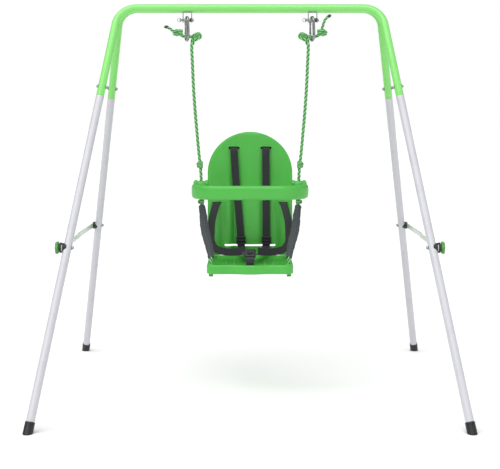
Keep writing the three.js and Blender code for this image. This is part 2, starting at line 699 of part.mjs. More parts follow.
function seatBase() {
  const height = SEAT_TOP - SEAT_BOTTOM;
  const pan = plateXY(roundedRect(SEAT_HALF_X, SEAT_FRONT_Y, SEAT_REAR_Y, 26, SEAT_SWELL),
    SEAT_BOTTOM, height);
  const hollow = plateXY(roundedRect(SEAT_HALF_X - SHELL, SEAT_FRONT_Y + SHELL, SEAT_REAR_Y - SHELL, 22),
    SEAT_BOTTOM - 1, height - SHELL + 1);
  const corners = [];
  for (const [, side] of SIDES) {
    for (const y of [FRONT_HOLE_Y, REAR_HOLE_Y]) corners.push([side * ROPE_HOLE_X, y]);
  }
  const upright = (x, y, radius, low, high, sides) => rod(v3(x, y, low), v3(x, y, high), radius, sides);
  const posts = corners.map(([x, y]) => upright(x, y, 11.5, SEAT_BOTTOM, SEAT_TOP - 1, 10));
  const holes = corners.map(([x, y]) => upright(x, y, ROPE_R + 1.2, SEAT_BOTTOM - 2, SEAT_TOP + 2, 8));
  const shell = join(cut(pan, hollow), ...posts);
  const strapSlot = block(WEB_WIDTH + 3, 5, 20, 0, CROTCH_Y, SEAT_TOP);
  const tabSlots = SIDES.map(([, side]) => (
    block(TAB_WIDTH + 1.6, BACK_T + 1.2, 20, side * TAB_X, BACK_Y - 2.5, SEAT_TOP)));
  return cut(shell, ...holes, strapSlot, ...tabSlots);
}

// ---------------------------------------------------------------- backrest
const SHOULDER_SLOT_X = 53.5;
const SHOULDER_SLOT_Z = 785;
const WAIST_SLOT_X = 112;
const WAIST_SLOT_Z = 600;
const CROTCH_Y = -105;
const VENT_Z = 457;
const VENT_WIDTH = 173;
const SHOULDER_SLOT_WIDTH = 37;
const WAIST_SLOT_WIDTH = 30;
const SLOT_HEIGHT = 7;
const TAB_X = 80;                    // tongues that plug the backrest into the seat
const TAB_WIDTH = 30;

function backOutline(inset) {
  const shape = new THREE.Shape();
  const half = BACK_HALF_X - inset;
  const low = SEAT_TOP + GAP + inset;
  shape.moveTo(-half + 12, low);
  shape.lineTo(half - 12, low);
  shape.lineTo(half, low + 12);
  shape.lineTo(half, BACK_SHOULDER);
  shape.absellipse(0, BACK_SHOULDER, half, BACK_TOP - BACK_SHOULDER - inset, 0, Math.PI, false, 0);
  shape.lineTo(-half, low + 12);
  return shape;
}

function backrest() {
  const front = BACK_Y - BACK_T / 2;
  const panel = plateXZ(backOutline(0), front, BACK_T);
  const inside = plateXZ(backOutline(SHELL), front - 1, BACK_RIM + 2);
  const rim = cut(plateXZ(backOutline(0), front, BACK_RIM), inside);
  const slots = [block(VENT_WIDTH, 40, SLOT_HEIGHT, 0, BACK_Y, VENT_Z)];
  for (const [, side] of SIDES) {
    slots.push(block(SHOULDER_SLOT_WIDTH, 40, SLOT_HEIGHT, side * SHOULDER_SLOT_X, BACK_Y, SHOULDER_SLOT_Z));
    slots.push(block(WAIST_SLOT_WIDTH, 40, SLOT_HEIGHT, side * WAIST_SLOT_X, BACK_Y, WAIST_SLOT_Z));
  }
  const tabs = SIDES.map(([, side]) => (
    block(TAB_WIDTH, BACK_T - 0.6, 18, side * TAB_X, BACK_Y - 1.9, SEAT_TOP)));
  return join(cut(join(panel, rim), ...slots), ...tabs);
}

// ---------------------------------------------------------------- safety ring
function ringPoints() {
  const points = [v3(RING_HALF_X - 6, ROPE_Y + 8, 0), v3(RING_HALF_X, ROPE_Y - 26, 0)];
  const steps = 6;
  for (let i = 0; i <= steps; i += 1) {
    const angle = (Math.PI / 2) * (i / steps);
    const across = RING_CORNER_R * Math.cos(angle);
    const ahead = RING_CORNER_R * Math.sin(angle);
    points.push(v3(RING_HALF_X - RING_CORNER_R + across, RING_FRONT_Y + RING_CORNER_R - ahead, 0));
  }
  const mirrored = points.map((p) => v3(-p.x, p.y, p.z)).reverse();
  return [...points, ...mirrored];
}

function safetyRing() {
  const height = RING_TOP - RING_BOTTOM;
  const section = new THREE.Shape(circle(1, 12).map((p) => {
    const square = (value) => Math.sign(value) * Math.abs(value) ** RING_SQUARENESS;
    return p.set(square(p.x) * height / 2, square(p.y) * RING_THICK / 2);
  }));
  const band = sweep(section, ringPoints(), v3(0, 0, 1)).translate(0, 0, (RING_TOP + RING_BOTTOM) / 2);
  const bosses = SIDES.map(([, side]) => rod(v3(side * RING_ROPE_X, ROPE_Y, BOSS_BOTTOM),
    v3(side * RING_ROPE_X, ROPE_Y, BOSS_TOP), BOSS_R, 14));
  const holes = SIDES.map(([, side]) => rod(v3(side * RING_ROPE_X, ROPE_Y, BOSS_BOTTOM - 20),
    v3(side * RING_ROPE_X, ROPE_Y, BOSS_TOP + 20), RING_BORE, 10));
  return cut(join(band, ...bosses), ...holes);
}

// ---------------------------------------------------------------- harness
const BUCKLE_Y = -62;
const BUCKLE_Z = 447;
const BUCKLE_TILT = 40 * DEG;
const BUCKLE_WIDTH = 36;
const BUCKLE_LENGTH = 34;
const BUCKLE_HEIGHT = 13;
const SOCKET_R = 7;                 // round well that holds the release button
const BUTTON_R = 6.4;

const shoulderRoutes = {
  left: [[-54, 102, 785], [-54, 90, 785], [-54, 80, 783], [-53, 77, 770], [-48, 77, 690], [-40, 77, 600],
    [-31, 77, 490], [-29.5, 76, 458], [-27, 66, 443], [-22, 36, 435], [-18, 0, 436], [-12.5, -30, 440]],
  right: [[53, 102, 785], [53, 90, 785], [53, 80, 783], [53, 77, 770], [53.5, 77, 690], [54.5, 77, 600],
    [55, 77, 490], [54.5, 76, 458], [50, 66, 444], [38, 38, 435], [26, 4, 436], [14.5, -30, 440]],
};
const waistRoute = [[112, 102, 600], [112, 90, 600], [113, 78, 597], [120, 58, 575], [127.5, 36, 540],
  [129, 20, 507], [127, 4, 477], [113, -6, 457], [81, -20, 449], [47, -38, 450], [26, -50, 454]];
const crotchRoute = [[0, CROTCH_Y, 412], [0, CROTCH_Y, 422], [0, CROTCH_Y + 4, 430],
  [0, -91, 434.5], [0, -80.5, 436]];

function strap(route, steps, side) {
  return sweep(rectShape(WEB_WIDTH, WEB_T), smooth(vectors(route), steps), side);
}

// The waist strap keeps its broad face to the front as it drops and sweeps in to the buckle.
function waistStrap() {
  return sweep(rectShape(WEB_T, WEB_WIDTH), smooth(vectors(waistRoute), 20), v3(0, 1, -0.35));
}

// Ladder-lock adjuster: a flat frame round the webbing.
const ADJUSTER_X = { left: -30.3, right: 55 };
const ADJUSTER_Y = 76.6;
const ADJUSTER_Z = 475;

function adjuster(x) {
  const frameBox = block(WEB_WIDTH + 6, 7, 22, x, ADJUSTER_Y, ADJUSTER_Z);
  return cut(frameBox, block(WEB_WIDTH + 3, 4.6, 40, x, ADJUSTER_Y, ADJUSTER_Z));
}

function buckleBody() {
  const body = new THREE.BoxGeometry(BUCKLE_WIDTH, BUCKLE_LENGTH, BUCKLE_HEIGHT);
  const socket = new THREE.CylinderGeometry(SOCKET_R, SOCKET_R, 8, 12).rotateX(Math.PI / 2);
  socket.translate(0, 0, BUCKLE_HEIGHT / 2);
  return cut(body, socket).rotateX(BUCKLE_TILT).translate(0, BUCKLE_Y, BUCKLE_Z);
}

function buckleButton() {
  const button = new THREE.CylinderGeometry(BUTTON_R, BUTTON_R, 4, 12).rotateX(Math.PI / 2);
  return button.translate(0, 0, BUCKLE_HEIGHT / 2 + 1).rotateX(BUCKLE_TILT).translate(0, BUCKLE_Y, BUCKLE_Z);
}

function harness(parent) {
  for (const [label, side] of SIDES) {
    place(parent, `shoulder_strap_${label}`, strap(shoulderRoutes[label], 20, v3(1, 0, 0)), webbing);
    place(parent, `waist_strap_${label}`, onSide(waistStrap(), side), webbing);
    place(parent, `strap_adjuster_${label}`, adjuster(ADJUSTER_X[label]), blackPlastic);
  }
  place(parent, 'crotch_strap', strap(crotchRoute, 8, v3(1, 0, 0)), webbing);
  place(parent, 'harness_buckle', buckleBody(), blackPlastic);
  place(parent, 'buckle_button', buckleButton(), blackPlastic);
}

// ---------------------------------------------------------------- assembly
const group = new THREE.Group();
group.add(frame('front', -1));
group.add(frame('rear', 1));
for (const [label, side] of SIDES) place(group, `fold_pin_${label}`, foldPin(side), zincSteel);
braces(group);
hangers(group);
hooks(group);
ropes(group);
place(group, 'seat_base', seatBase(), seatPlastic);
place(group, 'backrest', backrest(), seatPlastic);
place(group, 'safety_ring', safetyRing(), seatPlastic);
harness(group);

export default group;
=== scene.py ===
import math

import bmesh
import bpy
import numpy as np
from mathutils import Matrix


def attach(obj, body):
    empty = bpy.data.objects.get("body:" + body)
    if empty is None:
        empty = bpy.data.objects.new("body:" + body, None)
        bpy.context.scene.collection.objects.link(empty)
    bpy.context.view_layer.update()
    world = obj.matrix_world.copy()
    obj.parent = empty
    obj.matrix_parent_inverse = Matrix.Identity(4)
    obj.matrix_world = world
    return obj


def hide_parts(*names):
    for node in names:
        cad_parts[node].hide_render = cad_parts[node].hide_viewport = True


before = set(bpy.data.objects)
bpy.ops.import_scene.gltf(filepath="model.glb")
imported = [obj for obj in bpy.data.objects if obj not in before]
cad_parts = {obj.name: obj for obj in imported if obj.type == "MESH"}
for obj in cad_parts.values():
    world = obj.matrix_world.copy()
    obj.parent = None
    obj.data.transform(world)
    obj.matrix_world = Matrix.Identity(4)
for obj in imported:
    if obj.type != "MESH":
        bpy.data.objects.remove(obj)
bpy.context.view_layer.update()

# ---------------------------------------------------------------- camera
# Stands in front of the swing at a child's head height and looks slightly down. A long lens keeps
# the legs nearly straight, and a small downward shift leaves room for the feet.
CAMERA_TILT = 2.58                 # degrees below level
camera_lens = bpy.data.cameras.new("camera")
camera_lens.sensor_width = 36
camera_lens.lens = 79.3
camera_lens.shift_y = -0.14
camera = bpy.data.objects.new("camera", camera_lens)
camera.location = (0, -3.608, 0.896)
camera.rotation_euler = (math.radians(90 - CAMERA_TILT), 0, 0)
bpy.context.scene.collection.objects.link(camera)
bpy.context.scene.camera = camera

# ---------------------------------------------------------------- front ropes
# Three-strand twisted polypropylene rope, 11 mm thick, laid on a rope machine. It is knotted in the
# snap hook, carries the ring between two stopper knots and ends in a knot under the seat.
LEFT_RIGHT = (("left", -1), ("right", 1))
ROPE_RADIUS = 5.6
ROPE_LAY = 44                      # one full turn of a strand
STRAND_GIRTH = 18                  # every strand's skin is drawn to this girth for its finish
KNOT_TURN_RADIUS = 4.2
TAIL_RADIUS = 4.8                  # the loose end is pulled thinner
TIP_RADII = (4.6, 5, 5.1, 5, 4.3, 2.4)
TIP_BACK = 10                      # how far the sealed end reaches back and past the tail's end
TIP_PAST = 2.2
ROPE_STEP = 2.6
SHORT_ROPE_STEP = 2.4
HANG_Y = -19
ROPE_HOLE_X = 123                  # the seat has a front and a rear rope hole on each side
FRONT_HOLE_Y = -134
REAR_HOLE_Y = 68
SEAT_KNOT_HEIGHT = 388.5
SEAT_KNOT = (8.5, 6, 8.5)
# Knots from the hook down: centre, half width, half height and half depth. Bulky ones are two turns.
FRONT_KNOTS = (((234, HANG_Y, 1162), 18, 12, 13), ((228, HANG_Y, 1163), 13, 11, 12),
               ((172, HANG_Y, 1151), 12.5, 12, 12), ((175, HANG_Y, 1147), 9.5, 10, 10),
               ((163, HANG_Y, 734), 12.5, 12.5, 12), ((161, HANG_Y, 731), 10, 10, 10),
               ((158.8, HANG_Y - 1, 612.5), 12.5, 9, 11.5),
               ((ROPE_HOLE_X, FRONT_HOLE_Y, SEAT_KNOT_HEIGHT), *SEAT_KNOT))
FRONT_ROPE_ROUTE = ((186, -19, 1146), (189, -19, 1120), (187, -19, 1060), (183.5, -19, 980),
                    (179, -19, 913), (172, -19, 830), (165.5, -19, 760), (162, -19, 731),
                    (160, -19, 700), (159, -19, 660), (159, -19, 620), (158.5, -21, 606),
                    (156.5, -28, 588), (152, -42, 566), (149.5, -55, 548), (143.5, -75, 517),
                    (134, -96, 486), (126, -117, 455), (123.5, -131.5, 440), (123, -134, 428),
                    (123, -134, 388))
BIGHT_ROUTE = ((226, -18, 1158), (214, -19, 1150), (200, -19, 1148), (186, -19, 1151),
               (174, -17, 1158), (163, -18, 1158), (161, -22, 1149), (170, -25, 1142),
               (181, -22, 1137), (187, -19, 1124))
TAIL_ROUTES = {"left": ((238, -19, 1164), (246, -19, 1166), (258, -19, 1174), (268, -20, 1180),
                        (276, -21, 1181)),
               "right": ((232, -19, 1170), (238, -22, 1190), (243, -23, 1203), (251, -22, 1212),
                         (261, -20, 1218))}


def linear(code):
    """An sRGB hex colour as linear RGBA."""
    parts = [int(code[i:i + 2], 16) / 255 for i in (1, 3, 5)]
    return [p / 12.92 if p <= 0.04045 else ((p + 0.055) / 1.055) ** 2.4 for p in parts] + [1]


def new_finish(name):
    """An empty material."""
    made = bpy.data.materials.new(name)
    made.use_nodes = True
    made.node_tree.nodes.clear()
    return made


def add(material, kind, inputs=None, **settings):
    """One shader node with its settings; an input takes a value or another node's socket."""
    node = material.node_tree.nodes.new("ShaderNode" + kind)
    for name, value in settings.items():
        setattr(node, name, value)
    for name, value in (inputs or {}).items():
        if isinstance(value, bpy.types.NodeSocket):
            material.node_tree.links.new(value, node.inputs[name])
        else:
            node.inputs[name].default_value = value
    return node


def unit(vectors):
    """Vectors scaled to length 1."""
    return vectors / np.linalg.norm(vectors, axis=-1, keepdims=True)


def smooth_line(controls, step):
    """Evenly spaced points on the centripetal curve through some points."""
    knots = np.array(controls, float)
    knots = np.vstack([2 * knots[0] - knots[1], knots, 2 * knots[-1] - knots[-2]])
    t = np.concatenate([[0], np.cumsum(np.linalg.norm(np.diff(knots, axis=0), axis=1) ** 0.5)])
    pieces = []
    for i in range(1, len(knots) - 2):
        s = np.linspace(t[i], t[i + 1], 24, endpoint=False)[:, None]
        level = knots[i - 1:i + 3]
        for starts, width in (((i - 1, i, i + 1), 1), ((i - 1, i), 2), ((i,), 1)):
            mixes = [(s - t[k]) / (t[k + width] - t[k]) for k in starts]
            level = [(1 - m) * level[n] + m * level[n + 1] for n, m in enumerate(mixes)]
        pieces.append(level[0])
    fine = np.vstack(pieces + [knots[-2][None]])
    run = np.concatenate([[0], np.cumsum(np.linalg.norm(np.diff(fine, axis=0), axis=1))])
    stops = np.linspace(0, run[-1], max(2, round(run[-1] / step)) + 1)
    return np.stack([np.interp(stops, run, fine[:, k]) for k in range(3)], 1)


def cross_directions(line, side, held):
    """Two directions across a line at each point, held to one side or carried without twist."""
    ahead = unit(np.gradient(line, axis=0))
    first, across = np.array(side, float), []
    for direction in ahead:
        if held:
            first = np.array(side, float)
        first = unit(first - direction * first.dot(direction))
        across.append(first)
    across = np.array(across)
    return across, np.cross(ahead, across)


def loft(rings, closed=False):
    """A skin over rings of points: capped at both ends, or its last ring meets its first."""
    rings = np.asarray(rings, float)
    rows, sides = rings.shape[:2]
    gaps = np.linalg.norm(np.roll(rings, -1, axis=1) - rings, axis=2).mean(0)
    around = np.concatenate([[0], np.cumsum(gaps)])
    middles = rings.mean(1)
    steps = np.linalg.norm(np.roll(middles, -1, axis=0) - middles, axis=1)
    along = np.concatenate([[0], np.cumsum(steps)])
    faces, corners = [], []
    for i in range(rows if closed else rows - 1):
        k = (i + 1) % rows
        for j in range(sides):
            m = (j + 1) % sides
            faces.append([i * sides + j, i * sides + m, k * sides + m, k * sides + j])
            corners += [(around[j], along[i]), (around[j + 1], along[i]),
                        (around[j + 1], along[i + 1]), (around[j], along[i + 1])]
    if not closed:
        for row in (0, rows - 1):
            faces.append(list(range(row * sides, (row + 1) * sides)))
            corners += [(0, along[row])] * sides
    return rings.reshape(-1, 3), faces, corners


def sweep(line, sections, side=(0, 1, 0), held=False, closed=False):
    """A closed section, or one section for each point, carried along a line."""
    line = np.asarray(line, float)
    sections = np.asarray(sections, float)
    if sections.ndim == 2:
        sections = np.broadcast_to(sections, (len(line),) + sections.shape)
    first, second = cross_directions(line, side, held)
    rings = (line[:, None] + sections[..., :1] * first[:, None] + sections[..., 1:] * second[:, None])
    return loft(rings, closed)


def oval(half_x, half_y, sides, power=1.0):
    """A round or squarish section."""
    angles = 2 * math.pi * np.arange(sides) / sides
    cos, sin = np.cos(angles), np.sin(angles)
    return np.stack([half_x * np.sign(cos) * np.abs(cos) ** power,
                     half_y * np.sign(sin) * np.abs(sin) ** power], 1)


def mirrored(skin, side):
    """A skin built on the right, as it is on the given side."""
    points, faces, corners = skin
    return points * (side, 1, 1), faces, corners


def piece(name, skins, finish, body, stands_for=(), crease=38):
    """A piece of the object from skins in millimetres, riding on one body."""
    points, faces, corners, start = [], [], [], 0
    for skin_points, skin_faces, skin_corners in skins:
        points.append(skin_points)
        faces += [[index + start for index in face] for face in skin_faces]
        corners += skin_corners
        start += len(skin_points)
    mesh = bpy.data.meshes.new(name)
    mesh.from_pydata((np.vstack(points) * 0.001).tolist(), [], faces)
    run = mesh.uv_layers.new(name="run")
    run.data.foreach_set("uv", (np.array(corners) * 0.001).ravel())
    welded = bmesh.new()
    welded.from_mesh(mesh)
    bmesh.ops.recalc_face_normals(welded, faces=welded.faces)
    welded.to_mesh(mesh)
    welded.free()
    mesh.polygons.foreach_set("use_smooth", [True] * len(mesh.polygons))
    mesh.set_sharp_from_angle(angle=math.radians(crease))
    mesh.materials.append(finish)
    made = bpy.data.objects.new(name, mesh)
    bpy.context.scene.collection.objects.link(made)
    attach(made, body)
    if stands_for:
        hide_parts(*stands_for)
    return made


def twisted_rope(line, radius=ROPE_RADIUS):
    """Three round strands laid round a line; each strand's seam faces outwards."""
    across, third = cross_directions(line, (0, 1, 0), False)
    run = np.concatenate([[0], np.cumsum(np.linalg.norm(np.diff(line, axis=0), axis=1))])
    skins = []
    for strand in range(3):
        turn = 2 * math.pi * (run * ROPE_RADIUS / radius / ROPE_LAY + strand / 3)
        outward = np.cos(turn)[:, None] * across + np.sin(turn)[:, None] * third
        beside = np.cross(unit(np.gradient(line, axis=0)), outward)
        flat = oval(radius * 0.5, radius * 0.5, 10)
        centre = line + outward * radius * 0.5
        rings = centre[:, None] + flat[:, :1] * outward[:, None] + flat[:, 1:] * beside[:, None]
        points, faces, corners = loft(rings)
        girth = max(u for u, _ in corners)
        skins.append((points, faces, [(u / girth * STRAND_GIRTH, v) for u, v in corners]))
    return skins


def knot(centre, half_width, half_height, half_depth):
    """A tight overhand knot: one rope turned through itself, drawn as a three-lobed loop."""
    t = np.linspace(0, 2 * math.pi, 61)[:-1]
    reach = half_width - KNOT_TURN_RADIUS
    x = (2 + np.cos(3 * t)) * np.cos(2 * t) / 3 * reach
    y = (2 + np.cos(3 * t)) * np.sin(2 * t) / 3 * (half_depth - KNOT_TURN_RADIUS)
    z = np.sin(3 * t) * (half_height - KNOT_TURN_RADIUS)
    line = np.stack([x, y, z], 1) + centre
    return twisted_rope(np.vstack([line, line[:2]]), KNOT_TURN_RADIUS)


# Spun polypropylene: the eye sees twisted strands with fine yarns and a dull sheen.
rope_fibre = new_finish("twisted_polypropylene")
rope_run = add(rope_fibre, "UVMap", uv_map="run")
yarn_slant = add(rope_fibre, "Mapping", {"Vector": rope_run.outputs["UV"], "Rotation": (0, 0, 0.6),
                                         "Scale": (520, 520, 520)})     # yarns about 2 mm apart
yarns = add(rope_fibre, "TexWave", {"Vector": yarn_slant.outputs["Vector"], "Scale": 0.32,
                                    "Distortion": 1.2, "Detail": 2}, bands_direction="X")
rope_place = add(rope_fibre, "TexCoord")
rope_patches = add(rope_fibre, "TexNoise", {"Vector": rope_place.outputs["Object"], "Scale": 90,
                                            "Detail": 4})
yarn_colour = add(rope_fibre, "Mix", {0: yarns.outputs["Color"], 6: linear("#5fb35c"),
                                      7: linear("#93dc8b")}, data_type="RGBA")
patch_colour = add(rope_fibre, "Mix", {0: rope_patches.outputs["Fac"], 6: yarn_colour.outputs[2],
                                       7: linear("#79c976")}, data_type="RGBA")
# Painted shade: the colour darkens half a girth round from each strand's crest, towards the valley between
# strands, where shade falls. The texture runs in metres.
HALF_GIRTH = STRAND_GIRTH / 2000
GROOVE_EDGE = 0.0018
GROOVE_BED = 0.0050
rope_girth = add(rope_fibre, "SeparateXYZ", {"Vector": rope_run.outputs["UV"]})
from_crest = add(rope_fibre, "Math", {0: rope_girth.outputs["X"], 1: HALF_GIRTH},
                 operation="PINGPONG")
painted_groove_shade = add(rope_fibre, "MapRange", {"Value": from_crest.outputs["Value"],
                                      "From Min": GROOVE_EDGE, "From Max": GROOVE_BED},
             interpolation_type="SMOOTHSTEP")
# The dark green mixed in here is painted shade in the valleys between strands.
rope_colour = add(rope_fibre, "Mix", {0: painted_groove_shade.outputs["Result"], 6: patch_colour.outputs[2],
                                      7: linear("#2c6c34")}, data_type="RGBA")
yarn_relief = add(rope_fibre, "Bump", {"Height": yarns.outputs["Fac"], "Strength": 0.6,
                                       "Distance": 0.0004})
rope_shader = add(rope_fibre, "BsdfPrincipled", {
    "Base Color": rope_colour.outputs[2], "Roughness": 0.62, "Normal": yarn_relief.outputs["Normal"],
    "Sheen Weight": 0.25})
add(rope_fibre, "OutputMaterial", {"Surface": rope_shader.outputs["BSDF"]})

# A rope end sealed with a flame: dark, hard and slightly shiny.
sealed_end = new_finish("melted_polypropylene")
sealed_shader = add(sealed_end, "BsdfPrincipled", {"Base Color": linear("#1f3b22"),
                                                   "Roughness": 0.4})
add(sealed_end, "OutputMaterial", {"Surface": sealed_shader.outputs["BSDF"]})

for label, side in LEFT_RIGHT:
    front_line = smooth_line(FRONT_ROPE_ROUTE, ROPE_STEP)
    front_rope = piece(f"front_rope_{label}", [mirrored(s, side) for s in twisted_rope(front_line)],
                       rope_fibre, "swing", [f"rope_{label}"])
    bight_line = smooth_line(BIGHT_ROUTE, SHORT_ROPE_STEP)
    bight = piece(f"hook_bight_{label}", [mirrored(s, side) for s in twisted_rope(bight_line)],
                  rope_fibre, "swing")
    tail_line = smooth_line(TAIL_ROUTES[label], SHORT_ROPE_STEP)
    tail_skins = twisted_rope(tail_line, TAIL_RADIUS)
    tail = piece(f"rope_tail_{label}", [mirrored(s, side) for s in tail_skins], rope_fibre,
                 "swing")
    tip_stops = np.linspace(-TIP_BACK, TIP_PAST, len(TIP_RADII))
    tip_line = tail_line[-1] + np.outer(tip_stops, unit(tail_line[-1] - tail_line[-3]))
    tip_sections = [oval(r, r, 12) for r in TIP_RADII]
    tip = piece(f"rope_tip_{label}", [mirrored(sweep(tip_line, tip_sections), side)], sealed_end,
                "swing")
    knot_skins = [skin for place in FRONT_KNOTS for skin in knot(*place)]
    piece(f"rope_knots_{label}", [mirrored(s, side) for s in knot_skins], rope_fibre,
          "swing")

# ---------------------------------------------------------------- rear ropes
# A second length of the same rope drops from the knot under the ring to the seat's rear corner,
# and ends in a knot under the seat as the front one does.
REAR_ROPE_ROUTE = ((157.5, -13, 606), (155.5, -2, 582), (152, 20, 545), (145, 42, 505),
                   (134, 58, 462), (125, 66.5, 436), (123, 68, 424), (123, 68, 388))
for label, side in LEFT_RIGHT:
    rear_line = smooth_line(REAR_ROPE_ROUTE, ROPE_STEP)
    rear_skins = twisted_rope(rear_line)
    rear_rope = piece(f"seat_rope_rear_{label}", [mirrored(s, side) for s in rear_skins], rope_fibre,
                      "swing", [f"rear_rope_{label}"])
    end_skins = knot((ROPE_HOLE_X, REAR_HOLE_Y, SEAT_KNOT_HEIGHT), *SEAT_KNOT)
    rear_knot = piece(f"rear_knot_{label}", [mirrored(s, side) for s in end_skins], rope_fibre,
                      "swing")

# ---------------------------------------------------------------- top tubes
# Two 25 mm steel tubes bent at both shoulders on a mandrel, powder coated green and stoved. Each
# carries welded hinge knuckles on its inner side; the front one's hangers are welded below it.
TUBE_RADIUS = 12.5
BAR_HEIGHT = 1241.5
BAR_OFFSET = 19
CORNER_X = 425
BEND_RADIUS = 67
SOCKET_HEIGHT = 955
LEG_RUN = 531                      # from the bar to the ground a leg runs this far out in Y
LEG_SPREAD = 200                   # and this far out in X
LEAN = math.atan2(LEG_RUN, BAR_HEIGHT)
SPLAY = math.atan2(LEG_SPREAD, math.hypot(LEG_RUN, BAR_HEIGHT))
KNUCKLE_X = 280
KNUCKLE_RADIUS = 5.2


def in_frame(points, facing):
    """Points of one frame, drawn flat with its bar along X, leant over as it stands."""
    points = np.asarray(points, float)
    x, y, z = points[..., 0], points[..., 1], points[..., 2]
    cos, sin = math.cos(facing * LEAN), math.sin(facing * LEAN)
    return np.stack([x, y * cos - z * sin + facing * BAR_OFFSET, y * sin + z * cos + BAR_HEIGHT], -1)


def leg_point(side, height):
    """A leg's centre line in the flat frame, at a height above the ground."""
    drop = (BAR_HEIGHT - height) / math.cos(LEAN)
    return np.array([side * (CORNER_X + drop * math.tan(SPLAY)), 0, -drop])


def leg_axis(side):
    """The way a leg points down in the flat frame."""
    return np.array([side * math.sin(SPLAY), 0, -math.cos(SPLAY)])


def turned(start, end, profile, sides=32, closed=False):
    """A turned form about the line from start to end, from pairs of distance and radius."""
    start, end = np.array(start, float), np.array(end, float)
    ahead = unit(end - start)
    helper = np.array([0, 0, 1.0]) if abs(ahead[2]) < 0.9 else np.array([1.0, 0, 0])
    first = unit(np.cross(ahead, helper))
    second = np.cross(ahead, first)
    rings = []
    for distance, radius in profile:
        flat = oval(radius, radius, sides)
        rings.append(start + ahead * distance + flat[:, :1] * first + flat[:, 1:] * second)
    return loft(rings, closed)


def top_tube(facing):
    """The bent tube, with its cut ends eased, along its centre line."""
    turn_total = math.pi / 2 - SPLAY
    bend_x = CORNER_X - BEND_RADIUS * math.tan(turn_total / 2)
    turn = np.linspace(0, turn_total, 19)
    arc = np.stack([bend_x + BEND_RADIUS * np.sin(turn), 0 * turn,
                    BEND_RADIUS * (np.cos(turn) - 1)], 1)
    socket = leg_point(1, SOCKET_HEIGHT)
    ends = [socket - leg_axis(1) * back for back in (1.4, 0.7, 0)]
    half = np.vstack([[[bend_x / 2, 0, 0]], arc, ends])
    line = np.vstack([(half * (-1, 1, 1))[::-1], [[0, 0, 0]], half])
    radii = np.full(len(line), TUBE_RADIUS)
    radii[[0, -1]] = TUBE_RADIUS - 1
    radii[[1, -2]] = TUBE_RADIUS - 0.25
    return sweep(in_frame(line, facing), [oval(r, r, 40) for r in radii], (0, 1, 0))


def weld_bead(start, end, radius=1.5):
    """A rippled weld run."""
    line = np.linspace(start, end, 17)
    ripples = [radius * (0.5 if i in (0, 16) else 0.95 + 0.12 * (i % 2)) for i in range(17)]
    return sweep(line, [oval(r, r, 10) for r in ripples], (0, 0, 1))


def hinge_knuckles(facing):
    """Tube stubs for the fold hinge, each welded to its bar above and below."""
    skins = []
    spans = ((-23, -8.4), (8.4, 23)) if facing < 0 else ((-8, 8),)
    for _, side in LEFT_RIGHT:
        for low, high in spans:
            start = (side * KNUCKLE_X + low, 0, BAR_HEIGHT)
            end = (side * KNUCKLE_X + high, 0, BAR_HEIGHT)
            length = high - low
            wall = ((0, 2.9), (0, 4.7), (0.5, KNUCKLE_RADIUS), (length - 0.5, KNUCKLE_RADIUS),
                    (length, 4.7), (length, 2.9))
            skins.append(turned(start, end, wall, 28, closed=True))
            for height in (-3.4, 3.4):
                bead_y = facing * 5.6
                skins.append(weld_bead((start[0] + 1, bead_y, BAR_HEIGHT + height),
                                       (end[0] - 1, bead_y, BAR_HEIGHT + height), 1.8))
    return skins


def powder_coat(name, colour, shade, rough):
    """Stoved polyester powder: a glassy film with a faint orange peel and slightly uneven tone."""
    coat = new_finish(name)
    place = add(coat, "TexCoord")
    tone = add(coat, "TexNoise", {"Vector": place.outputs["Object"], "Scale": 14, "Detail": 3})
    peel = add(coat, "TexNoise", {"Vector": place.outputs["Object"], "Scale": 650, "Detail": 2})
    colours = add(coat, "Mix", {0: tone.outputs["Fac"], 6: linear(shade), 7: linear(colour)},
                  data_type="RGBA")
    gloss = add(coat, "MapRange", {"Value": tone.outputs["Fac"], "From Min": 0.3, "From Max": 0.7,
                                   "To Min": rough - 0.04, "To Max": rough + 0.08})
    relief = add(coat, "Bump", {"Height": peel.outputs["Fac"], "Strength": 0.12, "Distance": 0.0002})
    shader = add(coat, "BsdfPrincipled", {
        "Base Color": colours.outputs[2], "Roughness": gloss.outputs["Result"],
        "Normal": relief.outputs["Normal"], "Coat Weight": 0.35, "Coat Roughness": 0.12})
    add(coat, "OutputMaterial", {"Surface": shader.outputs["BSDF"]})
    return coat


green_coat = powder_coat("green_powder_coat", "#86dd72", "#7dd468", 0.3)
for name, facing in (("front", -1), ("rear", 1)):
    piece(f"{name}_bar", [top_tube(facing)] + hinge_knuckles(facing), green_coat,
          f"{name}_frame", [f"{name}_top_tube"])

# ---------------------------------------------------------------- legs
# Four straight 25 mm tubes in light grey powder coat. A reduced spigot plugs into the green tube,
# so only a fine seam shows where they meet.
FOOT_FLOOR = 5                     # rubber under the tube's end
SEAM = 0.3


def leg_foot(side):
    """The centre of the tube's lower end."""
    tilt = math.acos(math.cos(LEAN) * math.cos(SPLAY))
    return leg_point(side, FOOT_FLOOR + TUBE_RADIUS * math.sin(tilt))


def leg_tube(side, facing):
    """The grey tube from its seam with the green one to the foot, its upper end eased."""
    top = leg_point(side, SOCKET_HEIGHT) + leg_axis(side) * SEAM
    foot = leg_foot(side)
    length = np.linalg.norm(foot - top)
    stops = [0, 0.7, 1.4] + list(np.linspace(20, length - 2, 30)) + [length]
    line = np.array([top + leg_axis(side) * stop for stop in stops])
    radii = [TUBE_RADIUS - 1, TUBE_RADIUS - 0.25] + [TUBE_RADIUS] * (len(stops) - 2)
    return sweep(in_frame(line, facing), [oval(r, r, 40) for r in radii], (0, 1, 0))


grey_coat = powder_coat("light_grey_powder_coat", "#c9c9cf", "#bebec5", 0.28)
for name, facing in (("front", -1), ("rear", 1)):
    for label, side in LEFT_RIGHT:
        piece(f"{name}_leg_tube_{label}", [leg_tube(side, facing)], grey_coat, f"{name}_frame",
              [f"{name}_leg_{label}"])

